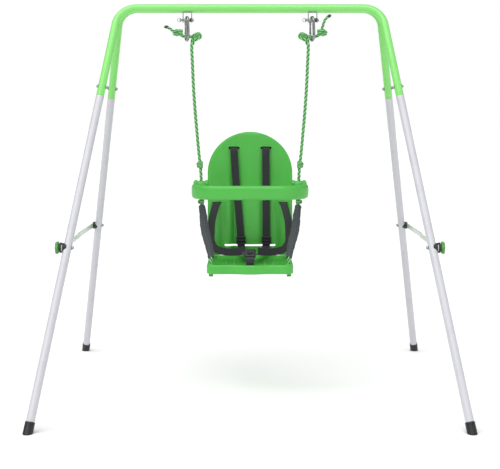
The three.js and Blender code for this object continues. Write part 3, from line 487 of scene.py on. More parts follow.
# ---------------------------------------------------------------- foot caps
# Moulded black rubber sleeves pushed over the tube ends and cut flat where they stand. Two fine
# grooves and a rolled lip show at the top.
CAP_RADIUS = 14.4
CAP_TOP = 22                       # how far the cap climbs the tube
CAP_PROFILE = ((0, 12.7), (0, 14), (0.8, CAP_RADIUS), (4.5, CAP_RADIUS), (5, 13.9), (6, 13.9),
               (6.5, CAP_RADIUS), (8.5, CAP_RADIUS), (9, 13.9), (10, 13.9), (10.5, CAP_RADIUS))


def foot_cap(side, facing):
    """Rings down the tube, the last two slid along its axis on to the ground."""
    top = leg_foot(side) - leg_axis(side) * CAP_TOP
    rings = []
    for distance, radius in CAP_PROFILE + ((20, CAP_RADIUS), (20, CAP_RADIUS - 1)):
        flat = oval(radius, radius, 48)
        across = np.array([math.cos(SPLAY), 0, side * math.sin(SPLAY)])
        ring = top + leg_axis(side) * distance + flat[:, :1] * across + flat[:, 1:] * (0, 1, 0)
        rings.append(in_frame(ring, facing))
    down = in_frame(leg_axis(side), facing) - in_frame((0, 0, 0), facing)
    for ring, height in ((rings[-2], 1), (rings[-1], 0)):
        ring += (height - ring[:, 2:]) / down[2] * down
    return loft(rings)


cap_rubber = new_finish("moulded_black_rubber")
rubber_place = add(cap_rubber, "TexCoord")
rubber_grain = add(cap_rubber, "TexNoise", {"Vector": rubber_place.outputs["Object"],
                                            "Scale": 900, "Detail": 3})   # spark-eroded mould skin
rubber_relief = add(cap_rubber, "Bump", {"Height": rubber_grain.outputs["Fac"], "Strength": 0.25,
                                         "Distance": 0.0003})
rubber_shader = add(cap_rubber, "BsdfPrincipled", {
    "Base Color": linear("#17181a"), "Roughness": 0.38, "Normal": rubber_relief.outputs["Normal"]})
add(cap_rubber, "OutputMaterial", {"Surface": rubber_shader.outputs["BSDF"]})
for name, facing in (("front", -1), ("rear", 1)):
    for label, side in LEFT_RIGHT:
        piece(f"{name}_rubber_foot_{label}", [foot_cap(side, facing)], cap_rubber, f"{name}_frame",
              [f"{name}_foot_cap_{label}"])

# ---------------------------------------------------------------- leg bolts and hinge pins
# Zinc plated M6 bolts hold each spigot in its socket, with a washer under head and nut. The fold
# hinges turn on plain pins whose ends are riveted over.
LEG_BOLT_HEIGHT = 985
HEX_HEAD = ((0, 5.2), (0.4, 5.6), (3.2, 5.6), (4, 4.9), (4, 3))
WASHER = ((-1.2, 3), (-1.2, 6), (-1, 6.3), (-0.2, 6.3), (0, 6), (0, 3))


def hex_fastening(face, outward, stud=0):
    """A washer and a chamfered hexagon standing on a face, with the end of the stud if it shows."""
    face, outward = np.array(face, float), np.array(outward, float)
    base = face + outward * 1.2
    skins = [turned(base, base + outward, WASHER, 28), turned(base, base + outward, HEX_HEAD, 6)]
    if stud:
        end = ((3, 2.9), (4 + stud - 0.5, 2.9), (4 + stud, 2.3))
        skins.append(turned(base, base + outward, end, 18))
    return skins


def leg_bolt(side, facing):
    """Head on the leg's outer side, nut and stud end on its inner side."""
    middle = leg_point(side, LEG_BOLT_HEIGHT)
    across = np.array([side * math.cos(SPLAY), 0, math.sin(SPLAY)])
    skins = []
    for way, stud in ((1, 0), (-1, 1.2)):
        face = in_frame(middle + across * way * (TUBE_RADIUS - 0.4), facing)
        beyond = in_frame(middle + across * way * (TUBE_RADIUS + 0.6), facing)
        skins += hex_fastening(face, beyond - face, stud)
    return skins


def hinge_pin(side):
    """Plain pin with a mushroomed head at both ends."""
    profile = ((0, 1.5), (0.4, 3.4), (1.1, 4.2), (1.6, 4.2), (1.6, 2.5), (48.4, 2.5), (48.4, 4.2),
               (48.9, 4.2), (49.6, 3.4), (50, 1.5))
    start = (side * KNUCKLE_X - 25, 0, BAR_HEIGHT)
    return turned(start, (start[0] + 50, 0, BAR_HEIGHT), profile, 24)


# Bright zinc on steel: a cool metal with soft, slightly cloudy reflections.
zinc_plate = new_finish("bright_zinc_plate")
zinc_place = add(zinc_plate, "TexCoord")
zinc_cloud = add(zinc_plate, "TexNoise", {"Vector": zinc_place.outputs["Object"], "Scale": 120,
                                          "Detail": 4})
zinc_colour = add(zinc_plate, "Mix", {0: zinc_cloud.outputs["Fac"], 6: linear("#7f8484"),
                                      7: linear("#a9adac")}, data_type="RGBA")
zinc_gloss = add(zinc_plate, "MapRange", {"Value": zinc_cloud.outputs["Fac"], "From Min": 0.3,
                                          "From Max": 0.7, "To Min": 0.22, "To Max": 0.42})
zinc_shader = add(zinc_plate, "BsdfPrincipled", {
    "Base Color": zinc_colour.outputs[2], "Metallic": 1.0, "Roughness": zinc_gloss.outputs["Result"]})
add(zinc_plate, "OutputMaterial", {"Surface": zinc_shader.outputs["BSDF"]})
for label, side in LEFT_RIGHT:
    for name, facing in (("front", -1), ("rear", 1)):
        piece(f"{name}_socket_bolt_{label}", leg_bolt(side, facing), zinc_plate, f"{name}_frame",
              [f"{name}_leg_bolt_{label}"], 25)
    piece(f"hinge_pin_{label}", [hinge_pin(side)], zinc_plate, "front_frame",
          [f"fold_pin_{label}"])

# ---------------------------------------------------------------- folding side braces
# Each side has two flat links pressed from 3 mm steel with a raised rib, powder coated grey and
# joined by a rivet at the middle, so that the brace folds up when the frame closes.
BRACE_HEIGHT = 500
BRACE_Y = BAR_OFFSET + (BAR_HEIGHT - BRACE_HEIGHT) * math.tan(LEAN)
LEG_X = CORNER_X + (BAR_HEIGHT - BRACE_HEIGHT) * LEG_SPREAD / BAR_HEIGHT
LEG_FACE = LEG_X + TUBE_RADIUS / math.cos(math.atan2(LEG_SPREAD, BAR_HEIGHT))
FRONT_LINK_X = LEG_FACE + 2.1
LINK_THICK = 3
REAR_LINK_X = FRONT_LINK_X + LINK_THICK + 0.5
LINK_HALF = 8
LINK_END = 13
LINK_MIDDLE = 9.5


def outline_inset(outline, inset):
    """An outline moved inwards along its own corners."""
    before, after = np.roll(outline, 1, axis=0), np.roll(outline, -1, axis=0)
    tangent = unit(after - before)
    area = np.sum(outline[:, 0] * after[:, 1] - after[:, 0] * outline[:, 1])
    normal = np.stack([-tangent[:, 1], tangent[:, 0]], 1) * np.sign(area)
    return outline + normal * inset


def plate(outline, levels, axes):
    """Outlines stacked at several heights with insets; axes say which way the plate lies."""
    rings = []
    for height, inset in levels:
        flat = outline_inset(outline, inset) if inset else outline
        ring = np.zeros((len(flat), 3))
        ring[:, axes[0]], ring[:, axes[1]], ring[:, axes[2]] = flat[:, 0], flat[:, 1], height
        rings.append(ring)
    return loft(rings)


def arc(centre, radius, start, end, count):
    """Points round a centre from one angle to another, in degrees."""
    angles = np.radians(np.linspace(start, end, count))
    return np.stack([centre[0] + radius * np.cos(angles), centre[1] + radius * np.sin(angles)], 1)


def brace_link(toward, inner_x, rib_way):
    """A link with round ends, eased edges and a rib pressed out of its middle."""
    end_angle = math.degrees(math.asin(LINK_HALF / LINK_END))
    middle_angle = math.degrees(math.asin(LINK_HALF / LINK_MIDDLE))
    outline = np.vstack([arc((BRACE_Y, 0), LINK_END, -180 + end_angle, 180 - end_angle, 25),
                         arc((0, 0), LINK_MIDDLE, middle_angle, 360 - middle_angle, 17)])
    outline = outline * (toward, 1) + (0, BRACE_HEIGHT)
    skins = [plate(outline, ((inner_x, 0.7), (inner_x + 0.6, 0), (inner_x + LINK_THICK - 0.6, 0),
                             (inner_x + LINK_THICK, 0.7)), (1, 2, 0))]
    rib = np.vstack([arc((BRACE_Y - 32, 0), 4, -90, 90, 9), arc((30, 0), 4, 90, 270, 9)])
    rib = rib * (toward, 1) + (0, BRACE_HEIGHT)
    face = inner_x + LINK_THICK if rib_way > 0 else inner_x
    skins.append(plate(rib, ((face - rib_way, 0), (face, 0), (face + rib_way * 0.8, 0.9),
                             (face + rib_way * 1.1, 2)), (1, 2, 0)))
    return skins


link_coat = powder_coat("pale_green_grey_powder_coat", "#c4d3c2", "#b9c9b8", 0.34)
for label, side in LEFT_RIGHT:
    for name, toward, inner_x, rib_way in (("front", -1, FRONT_LINK_X, -1), ("rear", 1, REAR_LINK_X, 1)):
        skins = [mirrored(s, side) for s in brace_link(toward, inner_x, rib_way)]
        piece(f"{name}_fold_link_{label}", skins, link_coat, f"{name}_link_{label}",
              [f"{name}_brace_{label}"])
    rivet_face = REAR_LINK_X + LINK_THICK
    rivet = turned((rivet_face, 0, BRACE_HEIGHT), (rivet_face + 1, 0, BRACE_HEIGHT),
                   ((-2.8, 3), (0, 3), (0, 5.6), (0.6, 5.9), (1.6, 5), (2.4, 3.2), (2.7, 1)), 24)
    piece(f"middle_rivet_{label}", [mirrored(rivet, side)], zinc_plate, f"rear_link_{label}",
          [f"brace_rivet_{label}"])

# ---------------------------------------------------------------- brace saddles
# Black nylon discs stand between each leg and its link and keep the two apart. The front one has a
# collar outside the link as well, for the knob to bear on.
COLLAR_X = FRONT_LINK_X + LINK_THICK + 0.3
COLLAR_THICK = 4.5
COLLAR_RADIUS = 15.8
BRIDGE_FROM = 106                  # degrees round the bolt, clear of the link as it folds up
BRIDGE_TO = 128
BRIDGE_OUTER = 15.6
BRIDGE_INNER = 13.7
FRONT_SADDLE_RADIUS = 13.6
REAR_SADDLE_RADIUS = 12.5

black_nylon = new_finish("moulded_black_nylon")
nylon_place = add(black_nylon, "TexCoord")
nylon_grain = add(black_nylon, "TexNoise", {"Vector": nylon_place.outputs["Object"],
                                            "Scale": 1100, "Detail": 2})      # fine mould texture
nylon_relief = add(black_nylon, "Bump", {"Height": nylon_grain.outputs["Fac"], "Strength": 0.2,
                                         "Distance": 0.0002})
nylon_shader = add(black_nylon, "BsdfPrincipled", {
    "Base Color": linear("#1d2023"), "Roughness": 0.46, "Normal": nylon_relief.outputs["Normal"]})
add(black_nylon, "OutputMaterial", {"Surface": nylon_shader.outputs["BSDF"]})


def saddle(y, link_x, radius):
    """A disc against the link that runs back into the leg's round."""
    thick = link_x - 0.3 - LEG_X
    profile = ((1, radius - 2), (1.6, radius), (thick - 0.8, radius), (thick, radius - 0.8),
               (thick, 3.4))
    return turned((LEG_X, y, BRACE_HEIGHT), (LEG_X + 1, y, BRACE_HEIGHT), profile, 40)


def front_collar():
    """The outer disc, and two blocks behind the link's sweep that bridge to the saddle."""
    start = (COLLAR_X, -BRACE_Y, BRACE_HEIGHT)
    disc = ((0, 3.6), (0, COLLAR_RADIUS - 0.6), (0.6, COLLAR_RADIUS), (2.1, COLLAR_RADIUS),
            (2.4, COLLAR_RADIUS - 0.6), (2.7, COLLAR_RADIUS), (3.9, COLLAR_RADIUS),
            (COLLAR_THICK, COLLAR_RADIUS - 0.8), (COLLAR_THICK, 3.6))
    skins = [turned(start, (COLLAR_X + 1, start[1], start[2]), disc, 48, closed=True)]
    for way in (-1, 1):
        low, high = BRIDGE_FROM * way, BRIDGE_TO * way
        bridge = np.vstack([arc((-BRACE_Y, BRACE_HEIGHT), BRIDGE_OUTER, low, high, 9),
                            arc((-BRACE_Y, BRACE_HEIGHT), BRIDGE_INNER, high, low, 9)])
        skins.append(plate(bridge, ((FRONT_LINK_X - 4, 0), (COLLAR_X + 1, 0)), (1, 2, 0)))
    return skins


for label, side in LEFT_RIGHT:
    front_skins = [saddle(-BRACE_Y, FRONT_LINK_X, FRONT_SADDLE_RADIUS)] + front_collar()
    piece(f"front_spacer_{label}", [mirrored(s, side) for s in front_skins], black_nylon,
          "front_frame", [f"front_saddle_{label}"])
    rear_skin = saddle(BRACE_Y, REAR_LINK_X, REAR_SADDLE_RADIUS)
    piece(f"rear_spacer_{label}", [mirrored(rear_skin, side)], black_nylon, "rear_frame",
          [f"rear_saddle_{label}"])

# ---------------------------------------------------------------- brace bolts
# Zinc plated M6 bolts through the legs, with a plain nut inside. The rear ones have a round head
# over the link; the front ones run out into the knob.
for label, side in LEFT_RIGHT:
    for name, facing in (("front", -1), ("rear", 1)):
        inner = (LEG_X - (LEG_FACE - LEG_X) + 0.4, facing * BRACE_Y, BRACE_HEIGHT)
        skins = hex_fastening(inner, (-1, 0, 0), 1.5)
        if facing < 0:
            shank_end = COLLAR_X + COLLAR_THICK + 9
            skins.append(turned((LEG_FACE, inner[1], inner[2]), (LEG_FACE + 1, inner[1], inner[2]),
                                ((0, 3), (shank_end - LEG_FACE, 3)), 20))
        else:
            head_x = REAR_LINK_X + LINK_THICK
            skins.append(turned((head_x, inner[1], inner[2]), (head_x + 1, inner[1], inner[2]),
                                ((-6, 3), (0.2, 3), (0.2, 6.6), (1, 6.7), (2.2, 5.8), (3, 4),
                                 (3.3, 1.4)), 28))
        piece(f"{name}_brace_screw_{label}", [mirrored(s, side) for s in skins], zinc_plate,
              f"{name}_frame", [f"{name}_brace_bolt_{label}"], 25)

# ---------------------------------------------------------------- star knobs
# Green moulded knobs with six soft lobes lock the braces open. A zinc plated hexagon nut is moulded
# into the middle, inside a shallow well.
KNOB_X = COLLAR_X + COLLAR_THICK + 0.3
KNOB_RINGS = ((0, 10, 0), (1.8, 10.2, 0), (2.6, 13.5, 0.7), (3.4, 16.2, 1.2), (4.6, 17.6, 1.6),
              (6.2, 18, 1.8), (9.6, 18, 1.8), (11.2, 17.4, 1.7), (12.4, 16, 1.3), (12.9, 13.8, 0.8),
              (12.8, 11, 0.2), (12.2, 9.2, 0), (11, 8.4, 0), (10.6, 7.6, 0), (10.6, 3.6, 0))


def star_knob():
    """Rings whose radius swells six times round."""
    angles = 2 * math.pi * np.arange(96) / 96
    rings = []
    for out, radius, lobe in KNOB_RINGS:
        reach = radius + lobe * np.cos(6 * angles)
        rings.append(np.stack([np.full(96, KNOB_X + out), -BRACE_Y + reach * np.cos(angles),
                               BRACE_HEIGHT + reach * np.sin(angles)], 1))
    return loft(rings)


knob_moulding = new_finish("moulded_green_polypropylene")
knob_place = add(knob_moulding, "TexCoord")
knob_grain = add(knob_moulding, "TexNoise", {"Vector": knob_place.outputs["Object"],
                                             "Scale": 1000, "Detail": 2})     # light mould grain
knob_relief = add(knob_moulding, "Bump", {"Height": knob_grain.outputs["Fac"], "Strength": 0.15,
                                          "Distance": 0.0002})
knob_shader = add(knob_moulding, "BsdfPrincipled", {
    "Base Color": linear("#4c8f3c"), "Roughness": 0.36, "Normal": knob_relief.outputs["Normal"]})
add(knob_moulding, "OutputMaterial", {"Surface": knob_shader.outputs["BSDF"]})
for label, side in LEFT_RIGHT:
    knob = piece(f"lock_knob_{label}", [mirrored(star_knob(), side)], knob_moulding,
                 f"knob_{label}", [f"star_knob_{label}"])
    insert_start = (KNOB_X + 10.2, -BRACE_Y, BRACE_HEIGHT)
    insert = turned(insert_start, (insert_start[0] + 1, -BRACE_Y, BRACE_HEIGHT),
                    ((0, 5.6), (0.9, 5.6), (1.2, 5.2), (1.2, 3.2), (0.2, 3)), 6)
    piece(f"knob_insert_{label}", [mirrored(insert, side)], zinc_plate, f"knob_{label}",
          crease=25)

# ---------------------------------------------------------------- hangers
# A strip of zinc plated steel, bent to a U that opens downwards, is welded under the front bar on
# each side. A clevis pin crosses it through the snap hook, held by a split ring at its left end.
HANGER_X = 203
HANGER_HALF = 14
STRIP_HALF_WIDTH = 7
STRIP_THICK = 2.4
PIN_HEIGHT = 1203
PIN_PAST = 10                      # how far the pin stands out for its split ring
SPLIT_RING_RADIUS = 6.2
SPLIT_RING_WIRE = 0.75
SPLIT_RING_TURNS = 1.9
STRIP_TOP = BAR_HEIGHT - TUBE_RADIUS - 0.3


def hanger_strip(x):
    """The strip along its bends, its two ends rounded off."""
    crown = STRIP_TOP - STRIP_THICK / 2
    low = PIN_HEIGHT - 9
    half = np.vstack([[(0, crown)], arc((HANGER_HALF - 5, crown - 5), 5, 90, 0, 9),
                      [(HANGER_HALF, z) for z in np.linspace(crown - 9, low + 7, 5)],
                      [(HANGER_HALF, low + 7 * math.cos(a)) for a in np.linspace(0.3, 1.5, 8)]])
    route = np.vstack([(half * (-1, 1))[::-1], half[1:]])
    line = np.stack([route[:, 0] + x, np.full(len(route), HANG_Y), route[:, 1]], 1)
    width = STRIP_HALF_WIDTH * np.sqrt(np.clip(1 - ((low + 7 - route[:, 1]) / 7).clip(0, 1) ** 2,
                                               0.02, 1))
    return sweep(line, [oval(w, STRIP_THICK / 2, 20, 0.35) for w in width], (0, 1, 0), held=True)


for label, side in LEFT_RIGHT:
    x = side * HANGER_X
    beads = [weld_bead((x - 9, HANG_Y + way * 6.4, STRIP_TOP), (x + 9, HANG_Y + way * 6.4, STRIP_TOP),
                       1.7) for way in (-1, 1)]
    piece(f"hanger_strip_{label}", [hanger_strip(x)] + beads, zinc_plate, "front_frame",
          [f"hanger_bracket_{label}"])
    outer = HANGER_HALF + STRIP_THICK / 2
    pin_start = (x - outer - PIN_PAST, HANG_Y, PIN_HEIGHT)
    pin_next = (pin_start[0] + 1, HANG_Y, PIN_HEIGHT)
    length = 2 * outer + PIN_PAST
    pin = turned(pin_start, pin_next, ((0, 2.6), (1.2, 4), (3, 4), (3.4, 3.6), (6, 3.6), (6.4, 4),
                                       (length + 1, 4)), 28)
    head_start = (x + outer + 0.2, HANG_Y, PIN_HEIGHT)
    head = hex_fastening(head_start, (1, 0, 0))
    piece(f"clevis_pin_{label}", [pin] + head, zinc_plate, "front_frame",
          [f"hanger_pin_{label}"], 25)
    spacer_start = (x + HANGER_HALF - STRIP_THICK / 2 - 4.8, HANG_Y, PIN_HEIGHT)
    spacer = turned(spacer_start, (spacer_start[0] + 1, HANG_Y, PIN_HEIGHT),
                    ((0, 4), (0, 6), (0.5, 6.5), (4, 6.5), (4.5, 6), (4.5, 4)), 32, closed=True)
    piece(f"pin_spacer_{label}", [spacer], black_nylon, "front_frame")
    coil_turn = np.linspace(0, 2 * math.pi * SPLIT_RING_TURNS, 90)
    coil = np.stack([x - outer - PIN_PAST - 0.7 + SPLIT_RING_RADIUS * np.cos(coil_turn),
                     HANG_Y + 0.9 * (coil_turn / coil_turn[-1] - 0.5) * 2,
                     PIN_HEIGHT + SPLIT_RING_RADIUS * np.sin(coil_turn)], 1)
    coil_skin = sweep(coil, oval(SPLIT_RING_WIRE, SPLIT_RING_WIRE, 10), (0, 1, 0))
    piece(f"split_ring_{label}", [coil_skin], zinc_plate, "front_frame",
          [f"ring_clip_{label}"])

# ---------------------------------------------------------------- snap hooks
# Carbine hooks bent from 9 mm zinc plated wire, slightly twisted on the pin. A round spring gate
# turns on a small rivet at the bottom end and closes against the nose.
HOOK_WIRE = 4.5
HOOK_TOP = PIN_HEIGHT + 4.3 + 2 * HOOK_WIRE
HOOK_BOTTOM = HOOK_TOP - 83
HOOK_HALF = 21 - HOOK_WIRE
GATE_LOW = HOOK_BOTTOM + 24
GATE_HIGH = HOOK_TOP - 23
GATE_PIVOT = GATE_LOW + 4.1
HOOK_TWIST = math.radians(18)


def hooked(skin, side):
    """A hook part drawn in the plane x = 0, twisted and hung on its pin."""
    points, faces, corners = skin
    cos, sin = math.cos(HOOK_TWIST), math.sin(HOOK_TWIST)
    x, y = points[:, 0] * cos - points[:, 1] * sin, points[:, 0] * sin + points[:, 1] * cos
    moved = np.stack([x + side * HANGER_X - 1.5, y + HANG_Y, points[:, 2]], 1)
    return moved, faces, corners


def hook_wire():
    """The bent wire from its nose over the crown, down the back and round to the gate's foot."""
    crown = arc((0, HOOK_TOP - HOOK_WIRE - 13), 13, 0, 180, 21)
    base = arc((0, HOOK_BOTTOM + HOOK_WIRE + HOOK_HALF), HOOK_HALF, 180, 360, 25)
    route = np.vstack([[(HOOK_HALF, GATE_HIGH), (HOOK_HALF, GATE_HIGH + 1.2),
                        (HOOK_HALF - 0.2, GATE_HIGH + 5)], crown, base,
                       [(HOOK_HALF, GATE_LOW - 1.2), (HOOK_HALF, GATE_LOW)]])
    line = np.stack([np.zeros(len(route)), route[:, 0], route[:, 1]], 1)
    radii = [HOOK_WIRE - 0.9] + [HOOK_WIRE] * (len(line) - 2) + [HOOK_WIRE - 0.6]
    return sweep(line, [oval(r, r, 22) for r in radii], (1, 0, 0), held=True)


def hook_gate():
    """Round gate with a ball at its pivot, and the rivet through it."""
    foot = (0, HOOK_HALF, GATE_PIVOT)
    length = GATE_HIGH - 0.6 - GATE_PIVOT
    gate = turned(foot, (0, HOOK_HALF, GATE_PIVOT + 1),
                  ((-3.7, 0.6), (-3.2, 2.1), (-2, 3.3), (0, 3.8), (2.6, 3.3), (4, 3.1),
                   (length - 6, 3.1), (length - 4, 3.6), (length - 0.5, 3.6), (length, 3)), 22)
    rivet = turned((-4.6, HOOK_HALF, GATE_PIVOT), (4.6, HOOK_HALF, GATE_PIVOT),
                   ((0, 0.8), (0.5, 1.5), (8.7, 1.5), (9.2, 0.8)), 14)
    return [gate, rivet]


for label, side in LEFT_RIGHT:
    piece(f"carbine_hook_{label}", [hooked(hook_wire(), side)], zinc_plate, "swing",
          [f"snap_hook_{label}"])
    piece(f"spring_gate_{label}", [hooked(s, side) for s in hook_gate()], zinc_plate,
          f"gate_{label}", [f"hook_gate_{label}"])

# ---------------------------------------------------------------- seat base
# Blow moulded green polyethylene pan with a soft edge and a dished top. Its front edge swells out
# in the middle, and eyelets at the corners take the ropes.
SEAT_HALF_X = 137.5
SEAT_FRONT = -158
SEAT_REAR = 94
SEAT_TOP = 423
SEAT_BOTTOM = 394
SEAT_CORNER = 26
SEAT_SWELL = 10
SWELL_HALF = 57
DIP_X = 68                         # a slight dip on each side of the swelling
DIP_WIDTH = 13
DIP_DEPTH = 1.5
RIB_PLACES = (-76, -50, 50, 76)
HOLLOW_TOP = 409.5
# The pan's wall from the hollow underneath, over the rim and into the dish: inset and height.
PAN_WALL = ((7, 408), (5, 405), (4.2, 395), (3.4, SEAT_BOTTOM), (1.6, SEAT_BOTTOM + 0.4),
            (0.3, 396.2), (0, 399), (0, 416), (0.5, 419.4), (2, 422), (4.5, SEAT_TOP),
            (9, SEAT_TOP), (13, 421.4), (17, 418), (20, 416.4))
EYELET = ((415, 6.8), (415, 12), (421, 11.4), (423.6, 10.6), (424.6, 9.4), (424.4, 7.6), (423, 6.8))
SOCKET = ((SEAT_BOTTOM, 6.8), (SEAT_BOTTOM, 10.6), (394.8, 11.5), (411, 11.5), (411, 6.8))


def seat_outline():
    """The pan from above, anticlockwise, with the swelling along the front."""
    x = np.linspace(-SEAT_HALF_X + SEAT_CORNER, SEAT_HALF_X - SEAT_CORNER, 57)
    swell = np.where(np.abs(x) < SWELL_HALF, 0.5 + 0.5 * np.cos(math.pi * x / SWELL_HALF), 0)
    dip = np.exp(-((np.abs(x) - DIP_X) / DIP_WIDTH) ** 2)
    front = np.stack([x, SEAT_FRONT - SEAT_SWELL * swell ** 0.8 + DIP_DEPTH * dip], 1)
    right, rear = SEAT_HALF_X - SEAT_CORNER, SEAT_REAR - SEAT_CORNER
    low = SEAT_FRONT + SEAT_CORNER
    return np.vstack([front, arc((right, low), SEAT_CORNER, -80, 0, 9),
                      [(SEAT_HALF_X, y) for y in np.linspace(-100, 40, 12)],
                      arc((right, rear), SEAT_CORNER, 0, 90, 10),
                      [(x, SEAT_REAR) for x in np.linspace(80, -80, 12)],
                      arc((-right, rear), SEAT_CORNER, 90, 180, 10),
                      [(-SEAT_HALF_X, y) for y in np.linspace(40, -100, 12)],
                      arc((-right, low), SEAT_CORNER, 180, 260, 9)])


def seat_pan():
    """Stacked outlines: the hollow underneath, the outer wall, the rim and the dished top."""
    outline = seat_outline()
    middle = np.array([0, (SEAT_FRONT + SEAT_REAR) / 2])
    inner = outline_inset(outline, 20)
    rings = []

    def ring(flat, z):
        rings.append(np.column_stack([flat, np.full(len(flat), z)]))

    for share in (0.1, 0.5, 0.92):
        ring(middle + (inner - middle) * share, HOLLOW_TOP)
    for inset, z in PAN_WALL:
        ring(outline_inset(outline, inset), z)
    for share, z in ((0.9, 415.6), (0.7, 415), (0.4, 414.6), (0.1, 414.5)):
        ring(middle + (inner - middle) * share, z)
    return loft(rings)


def seat_fittings():
    """Eyelets round the ropes, the sockets below them, and shallow ribs across the dish."""
    skins = []
    for _, side in LEFT_RIGHT:
        for y in (FRONT_HOLE_Y, REAR_HOLE_Y):
            spot = (side * ROPE_HOLE_X, y, 0)
            for profile in (EYELET, SOCKET):
                skins.append(turned(spot, (spot[0], spot[1], 1), profile, 32, closed=True))
    for x in RIB_PLACES:
        rib = np.vstack([arc((x, -70), 5, 180, 360, 9), arc((x, 40), 5, 0, 180, 9)])
        skins.append(plate(rib, ((413, 0), (415.4, 0), (416.6, 1), (417, 3)), (0, 1, 2)))
    return skins


def moulded_polyethylene(name, colour, shade):
    """Blow moulded sheet: waxy, softly shiny, with a very fine pebble and a little depth."""
    plastic = new_finish(name)
    place = add(plastic, "TexCoord")
    tone = add(plastic, "TexNoise", {"Vector": place.outputs["Object"], "Scale": 9, "Detail": 2})
    pebble = add(plastic, "TexNoise", {"Vector": place.outputs["Object"], "Scale": 700, "Detail": 2})
    colours = add(plastic, "Mix", {0: tone.outputs["Fac"], 6: linear(shade), 7: linear(colour)},
                  data_type="RGBA")
    relief = add(plastic, "Bump", {"Height": pebble.outputs["Fac"], "Strength": 0.15,
                                   "Distance": 0.0003})
    shader = add(plastic, "BsdfPrincipled", {
        "Base Color": colours.outputs[2], "Roughness": 0.34, "Normal": relief.outputs["Normal"],
        "Subsurface Weight": 0.08, "Subsurface Scale": 0.004})
    add(plastic, "OutputMaterial", {"Surface": shader.outputs["BSDF"]})
    return plastic


seat_plastic = moulded_polyethylene("blow_moulded_polyethylene", "#50b748", "#46a93f")
piece("seat_pan", [seat_pan()] + seat_fittings(), seat_plastic, "swing",
      ["seat_base"])

# ---------------------------------------------------------------- backrest
# One moulded panel of the same plastic: a domed top, a turned-back rim, slots for the shoulder and
# waist straps, and broad pleats that stiffen it down to the long slot at its foot.
BACK_FACE = 87.5
BACK_HALF_X = 142.5
BACK_TOP = 839
BACK_SHOULDER = 700
BACK_FOOT = SEAT_TOP + 0.5
BACK_WALL = 4
SHOULDER_SLOT = (53.5, 785, 18.5, 4.5)
WAIST_SLOT = (112, 600, 15, 3.5)
VENT_SLOT = (0, 457, 86.5, 3.5)
PLEATS = ((52, 13, 1), (91, 12, 0.7))       # place on each side, width and share of the full depth
PLEAT_DEPTH = 17
RIDGE_HEIGHT = 3
HOLLOW_DEPTH = 3.5
RIM_TURN = 2.4                     # how far the face turns back at the rim
RIM_GROOVE = 1.4
RIM_FLANGE = 7                     # how far the rim's back edge stands out behind the wall
BEAD_PAST = 1.6
BEAD_RADIUS = 1.7


def back_half_width(z):
    """Half the panel's width at each height: straight sides under an elliptical top."""
    rise = ((z - BACK_SHOULDER) / (BACK_TOP - BACK_SHOULDER)).clip(0, 1)
    foot = ((BACK_FOOT + 12 - z) / 12).clip(0, 1)
    return BACK_HALF_X * np.sqrt(1 - rise ** 2) - 12 * (1 - np.sqrt(1 - foot ** 2))


def back_depth(x, z):
    """How far the face stands back: pleats in the lower part and a hollow behind the shoulders."""
    low = 1 / (1 + np.exp((z - 655) / 38))
    pleat = sum(share * np.exp(-((np.abs(x) - place) / width) ** 2) for place, width, share in PLEATS)
    ridge = np.exp(-(x / 20) ** 2)
    upper = 1 / (1 + np.exp((650 - z) / 30)) * np.exp(-((z - 700) / 90) ** 2)
    shallow = np.exp(-((np.abs(x) - 50) / 20) ** 2)
    return low * (PLEAT_DEPTH * pleat - RIDGE_HEIGHT * ridge) + HOLLOW_DEPTH * upper * shallow


def back_panel():
    """Front and back skins over one grid, joined round a rim that turns back."""
    turn = np.linspace(-math.pi / 2, math.pi / 2, 81)
    across = np.sin(turn)
    heights = BACK_FOOT + (BACK_TOP - BACK_FOOT) * np.sin(np.linspace(0, math.pi / 2, 86)) ** 1.25
    heights[-1] = BACK_TOP - 0.02
    rings = []
    for z in heights:
        half = max(float(back_half_width(np.array(z))), 1.2)
        x = across * half
        edge = np.minimum(half - np.abs(x), BACK_TOP - z)
        lip = np.exp(-(edge / 3.5) ** 2)
        calm = 1 - np.exp(-(edge / 16) ** 2)
        groove_line = np.exp(-((edge - 5) / 2.2) ** 2)
        face = BACK_FACE + back_depth(x, z) * calm + RIM_TURN * lip + RIM_GROOVE * groove_line
        rear = face + BACK_WALL + RIM_FLANGE * np.exp(-(edge / 5) ** 2)
        front_edge = np.stack([x, face, np.full_like(x, z)], 1)
        rear_edge = np.stack([x * 0.998, rear, np.full_like(x, z)], 1)[::-1]
        rings.append(np.vstack([front_edge, rear_edge]))
    return loft(rings)


def slot_outline(slot, past, count):
    """A slot's round ends, as seen from the front, at some distance outside its edge."""
    x, z, half_x, half_z = slot
    return np.vstack([arc((x + half_x - half_z, z), half_z + past, -90, 90, count),
                      arc((x - half_x + half_z, z), half_z + past, 90, 270, count)])


def slot_lip(slot):
    """A raised bead round a slot's mouth."""
    loop = slot_outline(slot, BEAD_PAST, 12)
    depth = BACK_FACE - 0.4 + back_depth(loop[:, 0], loop[:, 1])
    line = np.stack([loop[:, 0], depth, loop[:, 1]], 1)
    return sweep(line, oval(BEAD_RADIUS, BEAD_RADIUS, 10), (0, 1, 0), held=True, closed=True)


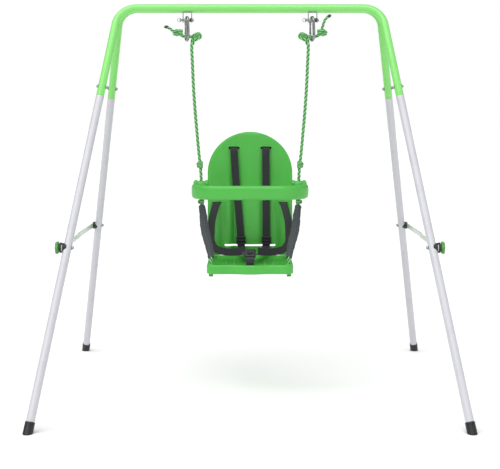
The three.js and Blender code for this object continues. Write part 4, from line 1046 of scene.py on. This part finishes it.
def cut_slots(target, slots):
    """Round-ended slots cut right through the panel."""
    through = ((BACK_FACE - 30, 0), (BACK_FACE + 40, 0))
    skins = [plate(slot_outline(slot, 0, 10), through, (0, 2, 1)) for slot in slots]
    cutter = piece("slot_cutter", skins, seat_plastic, "swing")
    cut = target.modifiers.new("slots", "BOOLEAN")
    cut.operation, cut.solver, cut.object = "DIFFERENCE", "EXACT", cutter
    bpy.context.view_layer.update()
    seen = target.evaluated_get(bpy.context.evaluated_depsgraph_get())
    target.data = bpy.data.meshes.new_from_object(seen)
    target.modifiers.clear()
    bpy.data.objects.remove(cutter)
    target.data.polygons.foreach_set("use_smooth", [True] * len(target.data.polygons))
    target.data.set_sharp_from_angle(angle=math.radians(38))


slots = [VENT_SLOT]
for slot in (SHOULDER_SLOT, WAIST_SLOT):
    slots += [slot, (-slot[0],) + slot[1:]]
back = piece("back_panel", [back_panel()], seat_plastic, "swing", ["backrest"])
cut_slots(back, slots)
piece("slot_beads", [slot_lip(slot) for slot in slots], seat_plastic, "swing")

# ---------------------------------------------------------------- safety ring
# Blow moulded hoop of the same plastic. It runs round the child's front and ends in two hollow
# bosses that slide on the front ropes; each boss rises in two soft lobes beside its rope.
RING_ROPE_X = 159
RING_HALF_X = 176
RING_FRONT = -164
RING_BOTTOM = 629
RING_TOP = 674
RING_THICK = 24
RING_CORNER = 88
BOSS_RADIUS = 21
RING_BORE = 8.6
# Each arm from its tip forward: across, ahead of the rope, half its thickness and its share of the
# full height. It thins beside the bore so that the rope runs free through the boss.
RING_ARM = ((173, 15, 3.6, 0.45), (175.2, 4, 6.2, 0.9), (177.5, -14, 8.8, 1), (176.5, -34, 11.5, 1),
            (RING_HALF_X, -46, RING_THICK / 2, 1))
LOBE_FROM_ROPE = 17.4
LOBE_HALF = (8.7, 15)
LOBE_MIDDLE = 673.5
LOBE_RISE = 10.5


def hoop():
    """The hoop's squarish section carried round from one arm's end to the other."""
    height = (RING_TOP + RING_BOTTOM) / 2
    bend = arc((RING_HALF_X - RING_CORNER, RING_FRONT + RING_CORNER), RING_CORNER, 0, -90, 21)
    arm = [(across, HANG_Y + ahead) for across, ahead, _, _ in RING_ARM]
    half = np.vstack([arm, bend, [(40, RING_FRONT)]])
    route = np.vstack([half, [(0, RING_FRONT)], (half * (-1, 1))[::-1]])
    line = np.column_stack([route, np.full(len(route), height)])
    sections = []
    for i in range(len(line)):
        from_tip = min(i, len(line) - 1 - i, len(RING_ARM) - 1)
        half_thick, share = RING_ARM[from_tip][2:]
        sections.append(oval((RING_TOP - RING_BOTTOM) / 2 * share, half_thick, 36, 0.62))
    return sweep(line, sections, (0, 0, 1), held=True)


def boss(side):
    """Sleeve round the rope with a rolled mouth at both ends."""
    spot = (side * RING_ROPE_X, HANG_Y, 0)
    profile = ((622, RING_BORE + 0.4), (622, 17), (622.8, 19), (625, 20.4), (630, BOSS_RADIUS),
               (668, BOSS_RADIUS), (675, 19.6), (679, 17.6), (680.5, 14.5), (680.5, RING_BORE + 1),
               (679, RING_BORE), (624, RING_BORE))
    return turned(spot, (spot[0], spot[1], 1), profile, 48, closed=True)


def lobe(side, way):
    """One of the two swellings beside the rope, flattened where it faces the bore."""
    rings = []
    for rise in np.linspace(-1, 1, 15):
        spread = math.sqrt(max(1 - rise ** 2, 0.003))
        flat = oval(LOBE_HALF[0] * spread, LOBE_HALF[1] * spread, 28, 0.9)
        across = side * RING_ROPE_X + way * LOBE_FROM_ROPE
        ring = np.column_stack([across + flat[:, 0], HANG_Y + flat[:, 1],
                                np.full(28, LOBE_MIDDLE + LOBE_RISE * rise)])
        rings.append(ring)
    return loft(rings)


ring_skins = [hoop()]
for _, side in LEFT_RIGHT:
    ring_skins += [boss(side), lobe(side, -1), lobe(side, 1)]
piece("hoop", ring_skins, seat_plastic, "ring", ["safety_ring"], 50)

# ---------------------------------------------------------------- rope sleeves
# A tube of black woven webbing, sewn along its back, covers each front rope between the ring and
# the seat, so that it doesn't chafe the legs. It is gathered and stitched at both ends.
SLEEVE_ROUTE = ((157.5, -24, 600), (151.5, -42, 567), (149.5, -55, 548), (143.5, -75, 517),
                (134, -96, 486), (126, -117, 455), (123.8, -128.5, 443))
SLEEVE_HALF_WIDTH = 12.8
SLEEVE_HALF_DEPTH = 9.4
SLEEVE_STEP = 2.2
SEAM_ACROSS = 8.4                  # where the stitch rows run, from the sleeve's centre line
SEAM_OUT = 7.6


def sleeve(side):
    """The tube, fullest in the middle and slightly rumpled."""
    line = smooth_line(SLEEVE_ROUTE, SLEEVE_STEP)
    sections = []
    for share in np.linspace(0, 1, len(line)):
        full = 0.78 + 0.28 * math.sin(math.pi * min(max(share * 1.05, 0), 1)) ** 0.8
        rumple = 0.35 * math.sin(share * 41 + side) + 0.25 * math.sin(share * 73)
        half_width = SLEEVE_HALF_WIDTH * full + rumple
        half_depth = SLEEVE_HALF_DEPTH * full - rumple * 0.6
        sections.append(oval(half_width, half_depth, 36, 0.9))
    return sweep(line, sections, (1, 0, 0), held=True)


def stitch_row(line, across_at, out_at, length=3.2, gap=2.2, radius=0.45):
    """Short raised stitches beside a line."""
    first, second = cross_directions(line, (1, 0, 0), True)
    step = np.linalg.norm(line[1] - line[0])
    skins = []
    for i in range(2, len(line) - 3, max(1, round((length + gap) / step))):
        j = min(i + max(1, round(length / step)), len(line) - 1)
        ends = [line[k] + first[k] * across_at + second[k] * out_at for k in (i, j)]
        skins.append(sweep(np.linspace(ends[0], ends[1], 4), oval(radius, radius, 6), (1, 0, 0)))
    return skins


def woven_webbing(name, light, dark, rib_mm):
    """Polypropylene webbing: a dull cloth with ribs across it and the sheen of fine threads."""
    cloth = new_finish(name)
    run = add(cloth, "UVMap", uv_map="run")
    ribs_per_metre = 1000 / rib_mm
    ribs = add(cloth, "TexWave", {"Vector": run.outputs["UV"], "Scale": ribs_per_metre / 20,
                                  "Distortion": 0.6, "Detail": 1, "Detail Scale": 3},
               bands_direction="Y")
    threads = add(cloth, "TexWave", {"Vector": run.outputs["UV"], "Scale": ribs_per_metre / 14,
                                     "Distortion": 0.8, "Detail": 1}, bands_direction="X")
    weave = add(cloth, "Math", {0: ribs.outputs["Fac"], 1: threads.outputs["Fac"]},
                operation="MULTIPLY")
    colours = add(cloth, "Mix", {0: weave.outputs["Value"], 6: linear(dark), 7: linear(light)},
                  data_type="RGBA")
    relief = add(cloth, "Bump", {"Height": weave.outputs["Value"], "Strength": 0.4,
                                 "Distance": 0.0005})
    shader = add(cloth, "BsdfPrincipled", {
        "Base Color": colours.outputs[2], "Roughness": 0.72, "Normal": relief.outputs["Normal"],
        "Sheen Weight": 0.35, "Sheen Roughness": 0.4})
    add(cloth, "OutputMaterial", {"Surface": shader.outputs["BSDF"]})
    return cloth


sleeve_cloth = woven_webbing("woven_black_sleeve", "#4a4f53", "#363b3f", 1.6)
thread = new_finish("black_bonded_thread")
thread_shader = add(thread, "BsdfPrincipled", {"Base Color": linear("#3a3e45"), "Roughness": 0.6})
add(thread, "OutputMaterial", {"Surface": thread_shader.outputs["BSDF"]})
sleeve_line = smooth_line(SLEEVE_ROUTE, SLEEVE_STEP)
for label, side in LEFT_RIGHT:
    piece(f"webbing_sleeve_{label}", [mirrored(sleeve(side), side)], sleeve_cloth, "swing",
          [f"rope_sleeve_{label}"], 60)
    seam = []
    for across in (-SEAM_ACROSS, SEAM_ACROSS):
        for out in (SEAM_OUT, -SEAM_OUT):
            seam += stitch_row(sleeve_line, across, out)
    piece(f"sleeve_stitches_{label}", [mirrored(s, side) for s in seam], thread, "swing")

# ---------------------------------------------------------------- harness straps
# 25 mm polypropylene webbing. The shoulder straps drop from the upper slots and the waist straps
# come through the slots at the sides; all four end a little short of the buckle.
WEB_HALF = 12.5
WEB_THICK = 0.8
SHOULDER_ROUTES = {
    "left": ((-54, 102, 785), (-54, 90, 785), (-54, 80, 783), (-53, 77, 770), (-48, 77, 690),
             (-40, 77, 600), (-31, 77, 490), (-29.5, 76, 458), (-27, 66, 443), (-22, 36, 435),
             (-18, 0, 436), (-12.5, -30, 440)),
    "right": ((53, 102, 785), (53, 90, 785), (53, 80, 783), (53, 77, 770), (53.5, 77, 690),
              (54.5, 77, 600), (55, 77, 490), (54.5, 76, 458), (50, 66, 444), (38, 38, 435),
              (26, 4, 436), (14.5, -30, 440))}
WAIST_ROUTE = ((112, 102, 600), (112, 90, 600), (113, 78, 597), (120, 58, 575), (127.5, 36, 540),
               (129, 20, 507), (127, 4, 477), (113, -6, 457), (81, -20, 449), (47, -38, 450),
               (26, -50, 454))
WAIST_FACE = (0, 1, -0.35)         # the way the waist strap's thin side points
CROTCH_ROUTE = ((0, -105, 412), (0, -105, 422), (0, -101, 430), (0, -91, 434.5), (0, -80.5, 436))


def web(route, side, step=4, half_x=WEB_HALF, half_y=WEB_THICK):
    """Flat webbing with rounded selvedges along a route."""
    return sweep(smooth_line(route, step), oval(half_x, half_y, 20, 0.3), side, held=True)


strap_cloth = woven_webbing("woven_charcoal_webbing", "#1f2428", "#15181b", 1.4)
for label, side in LEFT_RIGHT:
    piece(f"shoulder_web_{label}", [web(SHOULDER_ROUTES[label], (1, 0, 0))], strap_cloth, "swing",
          [f"shoulder_strap_{label}"], 60)
    waist = web(WAIST_ROUTE, WAIST_FACE, 4, WEB_THICK, WEB_HALF)
    piece(f"waist_web_{label}", [mirrored(waist, side)], strap_cloth, "swing",
          [f"waist_strap_{label}"], 60)
piece("crotch_web", [web(CROTCH_ROUTE, (1, 0, 0), 2.5)], strap_cloth, "swing",
      ["crotch_strap"], 60)

# ---------------------------------------------------------------- strap adjusters
# Black nylon ladder-locks on the shoulder straps: a frame with three ribbed bars that the webbing
# doubles back through.
ADJUSTER_X = {"left": -30.3, "right": 55}
ADJUSTER_HEIGHT = 475
ADJUSTER_BARS = (-10.5, 0, 10.5)
STOP_BAR_BACK = 17                 # how far the stop bars lie behind the backrest's face
STOP_BAR_PAST = 10                 # how much longer each is than its slot


def rounded_block(centre, size, radius, axes=(0, 2, 1)):
    """A block with rounded corners and eased edges; the last axis is its thickness."""
    a, b, c = axes
    half_a, half_b = size[0] / 2 - radius, size[1] / 2 - radius
    outline = np.vstack([arc((half_a, half_b), radius, 0, 90, 6),
                         arc((-half_a, half_b), radius, 90, 180, 6),
                         arc((-half_a, -half_b), radius, 180, 270, 6),
                         arc((half_a, -half_b), radius, 270, 360, 6)])
    outline = outline + (centre[a], centre[b])
    low, high = centre[c] - size[2] / 2, centre[c] + size[2] / 2
    ease = min(0.6, size[2] / 3)
    return plate(outline, ((low, ease), (low + ease, 0), (high - ease, 0), (high, ease)), axes)


def ladder_lock(x):
    """Two cheeks, three bars with two ridges each, and the bar the strap's end passes behind."""
    skins = []
    for way in (-1, 1):
        skins.append(rounded_block((x + way * 14.4, 76, ADJUSTER_HEIGHT), (3.2, 24, 7), 1.4))
    for rise in ADJUSTER_BARS:
        z = ADJUSTER_HEIGHT + rise
        skins.append(rounded_block((x, 73.8, z), (30, 5, 3), 1.4))
        for ridge in (-1.2, 1.2):
            line = [(x - 12, 72.3, z + ridge), (x, 72.3, z + ridge), (x + 12, 72.3, z + ridge)]
            skins.append(sweep(line, oval(0.7, 0.7, 8), (0, 1, 0)))
    skins.append(rounded_block((x, 79.2, ADJUSTER_HEIGHT - 6), (30, 4, 2.2), 1.2))
    return skins


# Stop bars behind the backrest hold the folded ends of the straps against their slots.
stop_bars = [rounded_block((x, BACK_FACE + STOP_BAR_BACK, z), (2 * half_x + STOP_BAR_PAST, 20, 5), 4)
             for x, z, half_x, _ in slots[1:]]
piece("strap_stop_bars", stop_bars, black_nylon, "swing")
for label, x in ADJUSTER_X.items():
    piece(f"ladder_lock_{label}", ladder_lock(x), black_nylon, "swing",
          [f"strap_adjuster_{label}"])

# ---------------------------------------------------------------- buckle
# A moulded harness buckle that leans back on the end of the crotch strap. Two tongues enter at its
# top, and a round button in its face lets them go.
BUCKLE_SPOT = np.array((0, -62, 447))
BUCKLE_TILT = math.radians(40)
BUTTON_BOTTOM = 3.6
BUTTON_TRAVEL = 2.2
WELL_FLOOR = BUTTON_BOTTOM - BUTTON_TRAVEL - 0.5
WELL_RADIUS = 7.2
CASE_CORNER = (11, 10)             # centre of each rounded corner
CASE_CORNER_RADIUS = 7
TONGUE_MOUTHS = (-13, 13)
CROTCH_TONGUE = ((0, -21, 0), (30, 14, 7))  # the block that takes the crotch strap


def tilted(skin):
    """A part drawn flat round the origin, tipped back and set on the buckle's place."""
    points, faces, corners = skin
    cos, sin = math.cos(BUCKLE_TILT), math.sin(BUCKLE_TILT)
    x, y, z = points.T
    return np.stack([x, y * cos - z * sin, y * sin + z * cos], 1) + BUCKLE_SPOT, faces, corners


def buckle_case():
    """Pillowed case with a parting line, a button well, two mouths and the crotch strap's block."""
    x, y = CASE_CORNER
    corners = np.vstack([arc((way_x * x, way_y * y), CASE_CORNER_RADIUS, start, start + 90, 8)
                         for way_x, way_y, start in ((1, 1, 0), (-1, 1, 90), (-1, -1, 180), (1, -1, 270))])
    well = arc((0, 0), WELL_RADIUS, 5, 365, 33)[:-1]
    rings = [np.column_stack([outline_inset(corners, inset), np.full(32, z)]) for inset, z in (
        (3, -6.5), (1.2, -6.1), (0.2, -4.6), (0, -0.5), (0.5, -0.3), (0.5, 0.3), (0, 0.5),
        (0.2, 3.6), (1.4, 5.6), (3.4, 6.5))]
    for radius, z in ((8.4, 6.5), (7.4, 6.1), (7.1, WELL_FLOOR), (2, WELL_FLOOR)):
        flat = well / WELL_RADIUS * radius
        rings.append(np.column_stack([flat, np.full(32, z)]))
    skins = [loft(rings)]
    for mouth_x in TONGUE_MOUTHS:
        skins.append(rounded_block((mouth_x, 14.5, 0), (12, 6, 5), 1.6, (0, 1, 2)))
    skins.append(rounded_block(*CROTCH_TONGUE, 2.4, (0, 1, 2)))
    return [tilted(skin) for skin in skins]


def press_button():
    """Shallow domed button with a ring pressed in its face."""
    profile = ((BUTTON_BOTTOM, 6.2), (7, 6.4), (8.2, 6.3), (8.8, 5.7), (9.1, 4.6), (8.9, 4.2),
               (9.2, 3.6), (9.5, 1.5))
    return tilted(turned((0, 0, 0), (0, 0, 1), profile, 40))


piece("buckle_case", buckle_case(), black_nylon, "swing", ["harness_buckle"], 30)
piece("press_button", [press_button()], black_nylon, "button", ["buckle_button"])

# ---------------------------------------------------------------- floor and light
# A plain white floor and backdrop, with one broad distant lamp from the upper left and a weaker,
# broader one from the right, so that the shadows stay faint.
floor_paint = new_finish("matt_white_floor")
floor_shader = add(floor_paint, "BsdfPrincipled", {"Base Color": linear("#ffffff"),
                                                   "Roughness": 0.9,
                                                   "Specular IOR Level": 0.1})
add(floor_paint, "OutputMaterial", {"Surface": floor_shader.outputs["BSDF"]})
floor_mesh = bpy.data.meshes.new("floor")
FLOOR_REACH = 60
floor_mesh.from_pydata([(x * FLOOR_REACH, y * FLOOR_REACH, 0) for x, y in
                        ((-1, -1), (1, -1), (1, 1), (-1, 1))], [], [(0, 1, 2, 3)])
floor_mesh.materials.append(floor_paint)
floor = bpy.data.objects.new("floor", floor_mesh)
bpy.context.scene.collection.objects.link(floor)

# The backdrop is seen as plain white; the light that it sheds on the object is dimmer.
SKY_LIGHT = 0.34
sky = bpy.data.worlds.new("white_sky")
sky.use_nodes = True
sky_tree = sky.node_tree
seen_directly = sky_tree.nodes.new("ShaderNodeLightPath").outputs["Is Camera Ray"]
sky_level = sky_tree.nodes.new("ShaderNodeMapRange")
sky_level.inputs["To Min"].default_value = SKY_LIGHT
sky_level.inputs["To Max"].default_value = 1
sky_tree.links.new(seen_directly, sky_level.inputs["Value"])
backdrop = sky_tree.nodes["Background"]
backdrop.inputs["Color"].default_value = linear("#ffffff")
sky_tree.links.new(sky_level.outputs["Result"], backdrop.inputs["Strength"])
bpy.context.scene.world = sky
bpy.context.scene.view_settings.view_transform = "Standard"


def soft_sun(name, place, spread, strength):
    """A broad distant lamp that shines from a place towards the seat."""
    light = bpy.data.lights.new(name, "SUN")
    light.angle = math.radians(spread)
    light.energy = strength
    lamp = bpy.data.objects.new(name, light)
    lamp.location = place
    aim = np.array((0, 0, 0.65)) - place
    lamp.rotation_euler = (math.atan2(math.hypot(aim[0], aim[1]), -aim[2]), 0,
                           math.atan2(aim[1], aim[0]) - math.pi / 2)
    bpy.context.scene.collection.objects.link(lamp)


soft_sun("key_lamp", (-1.6, -2.0, 4.6), 75, 2.5)
soft_sun("fill_lamp", (2.6, -2.2, 2.8), 90, 0.8)
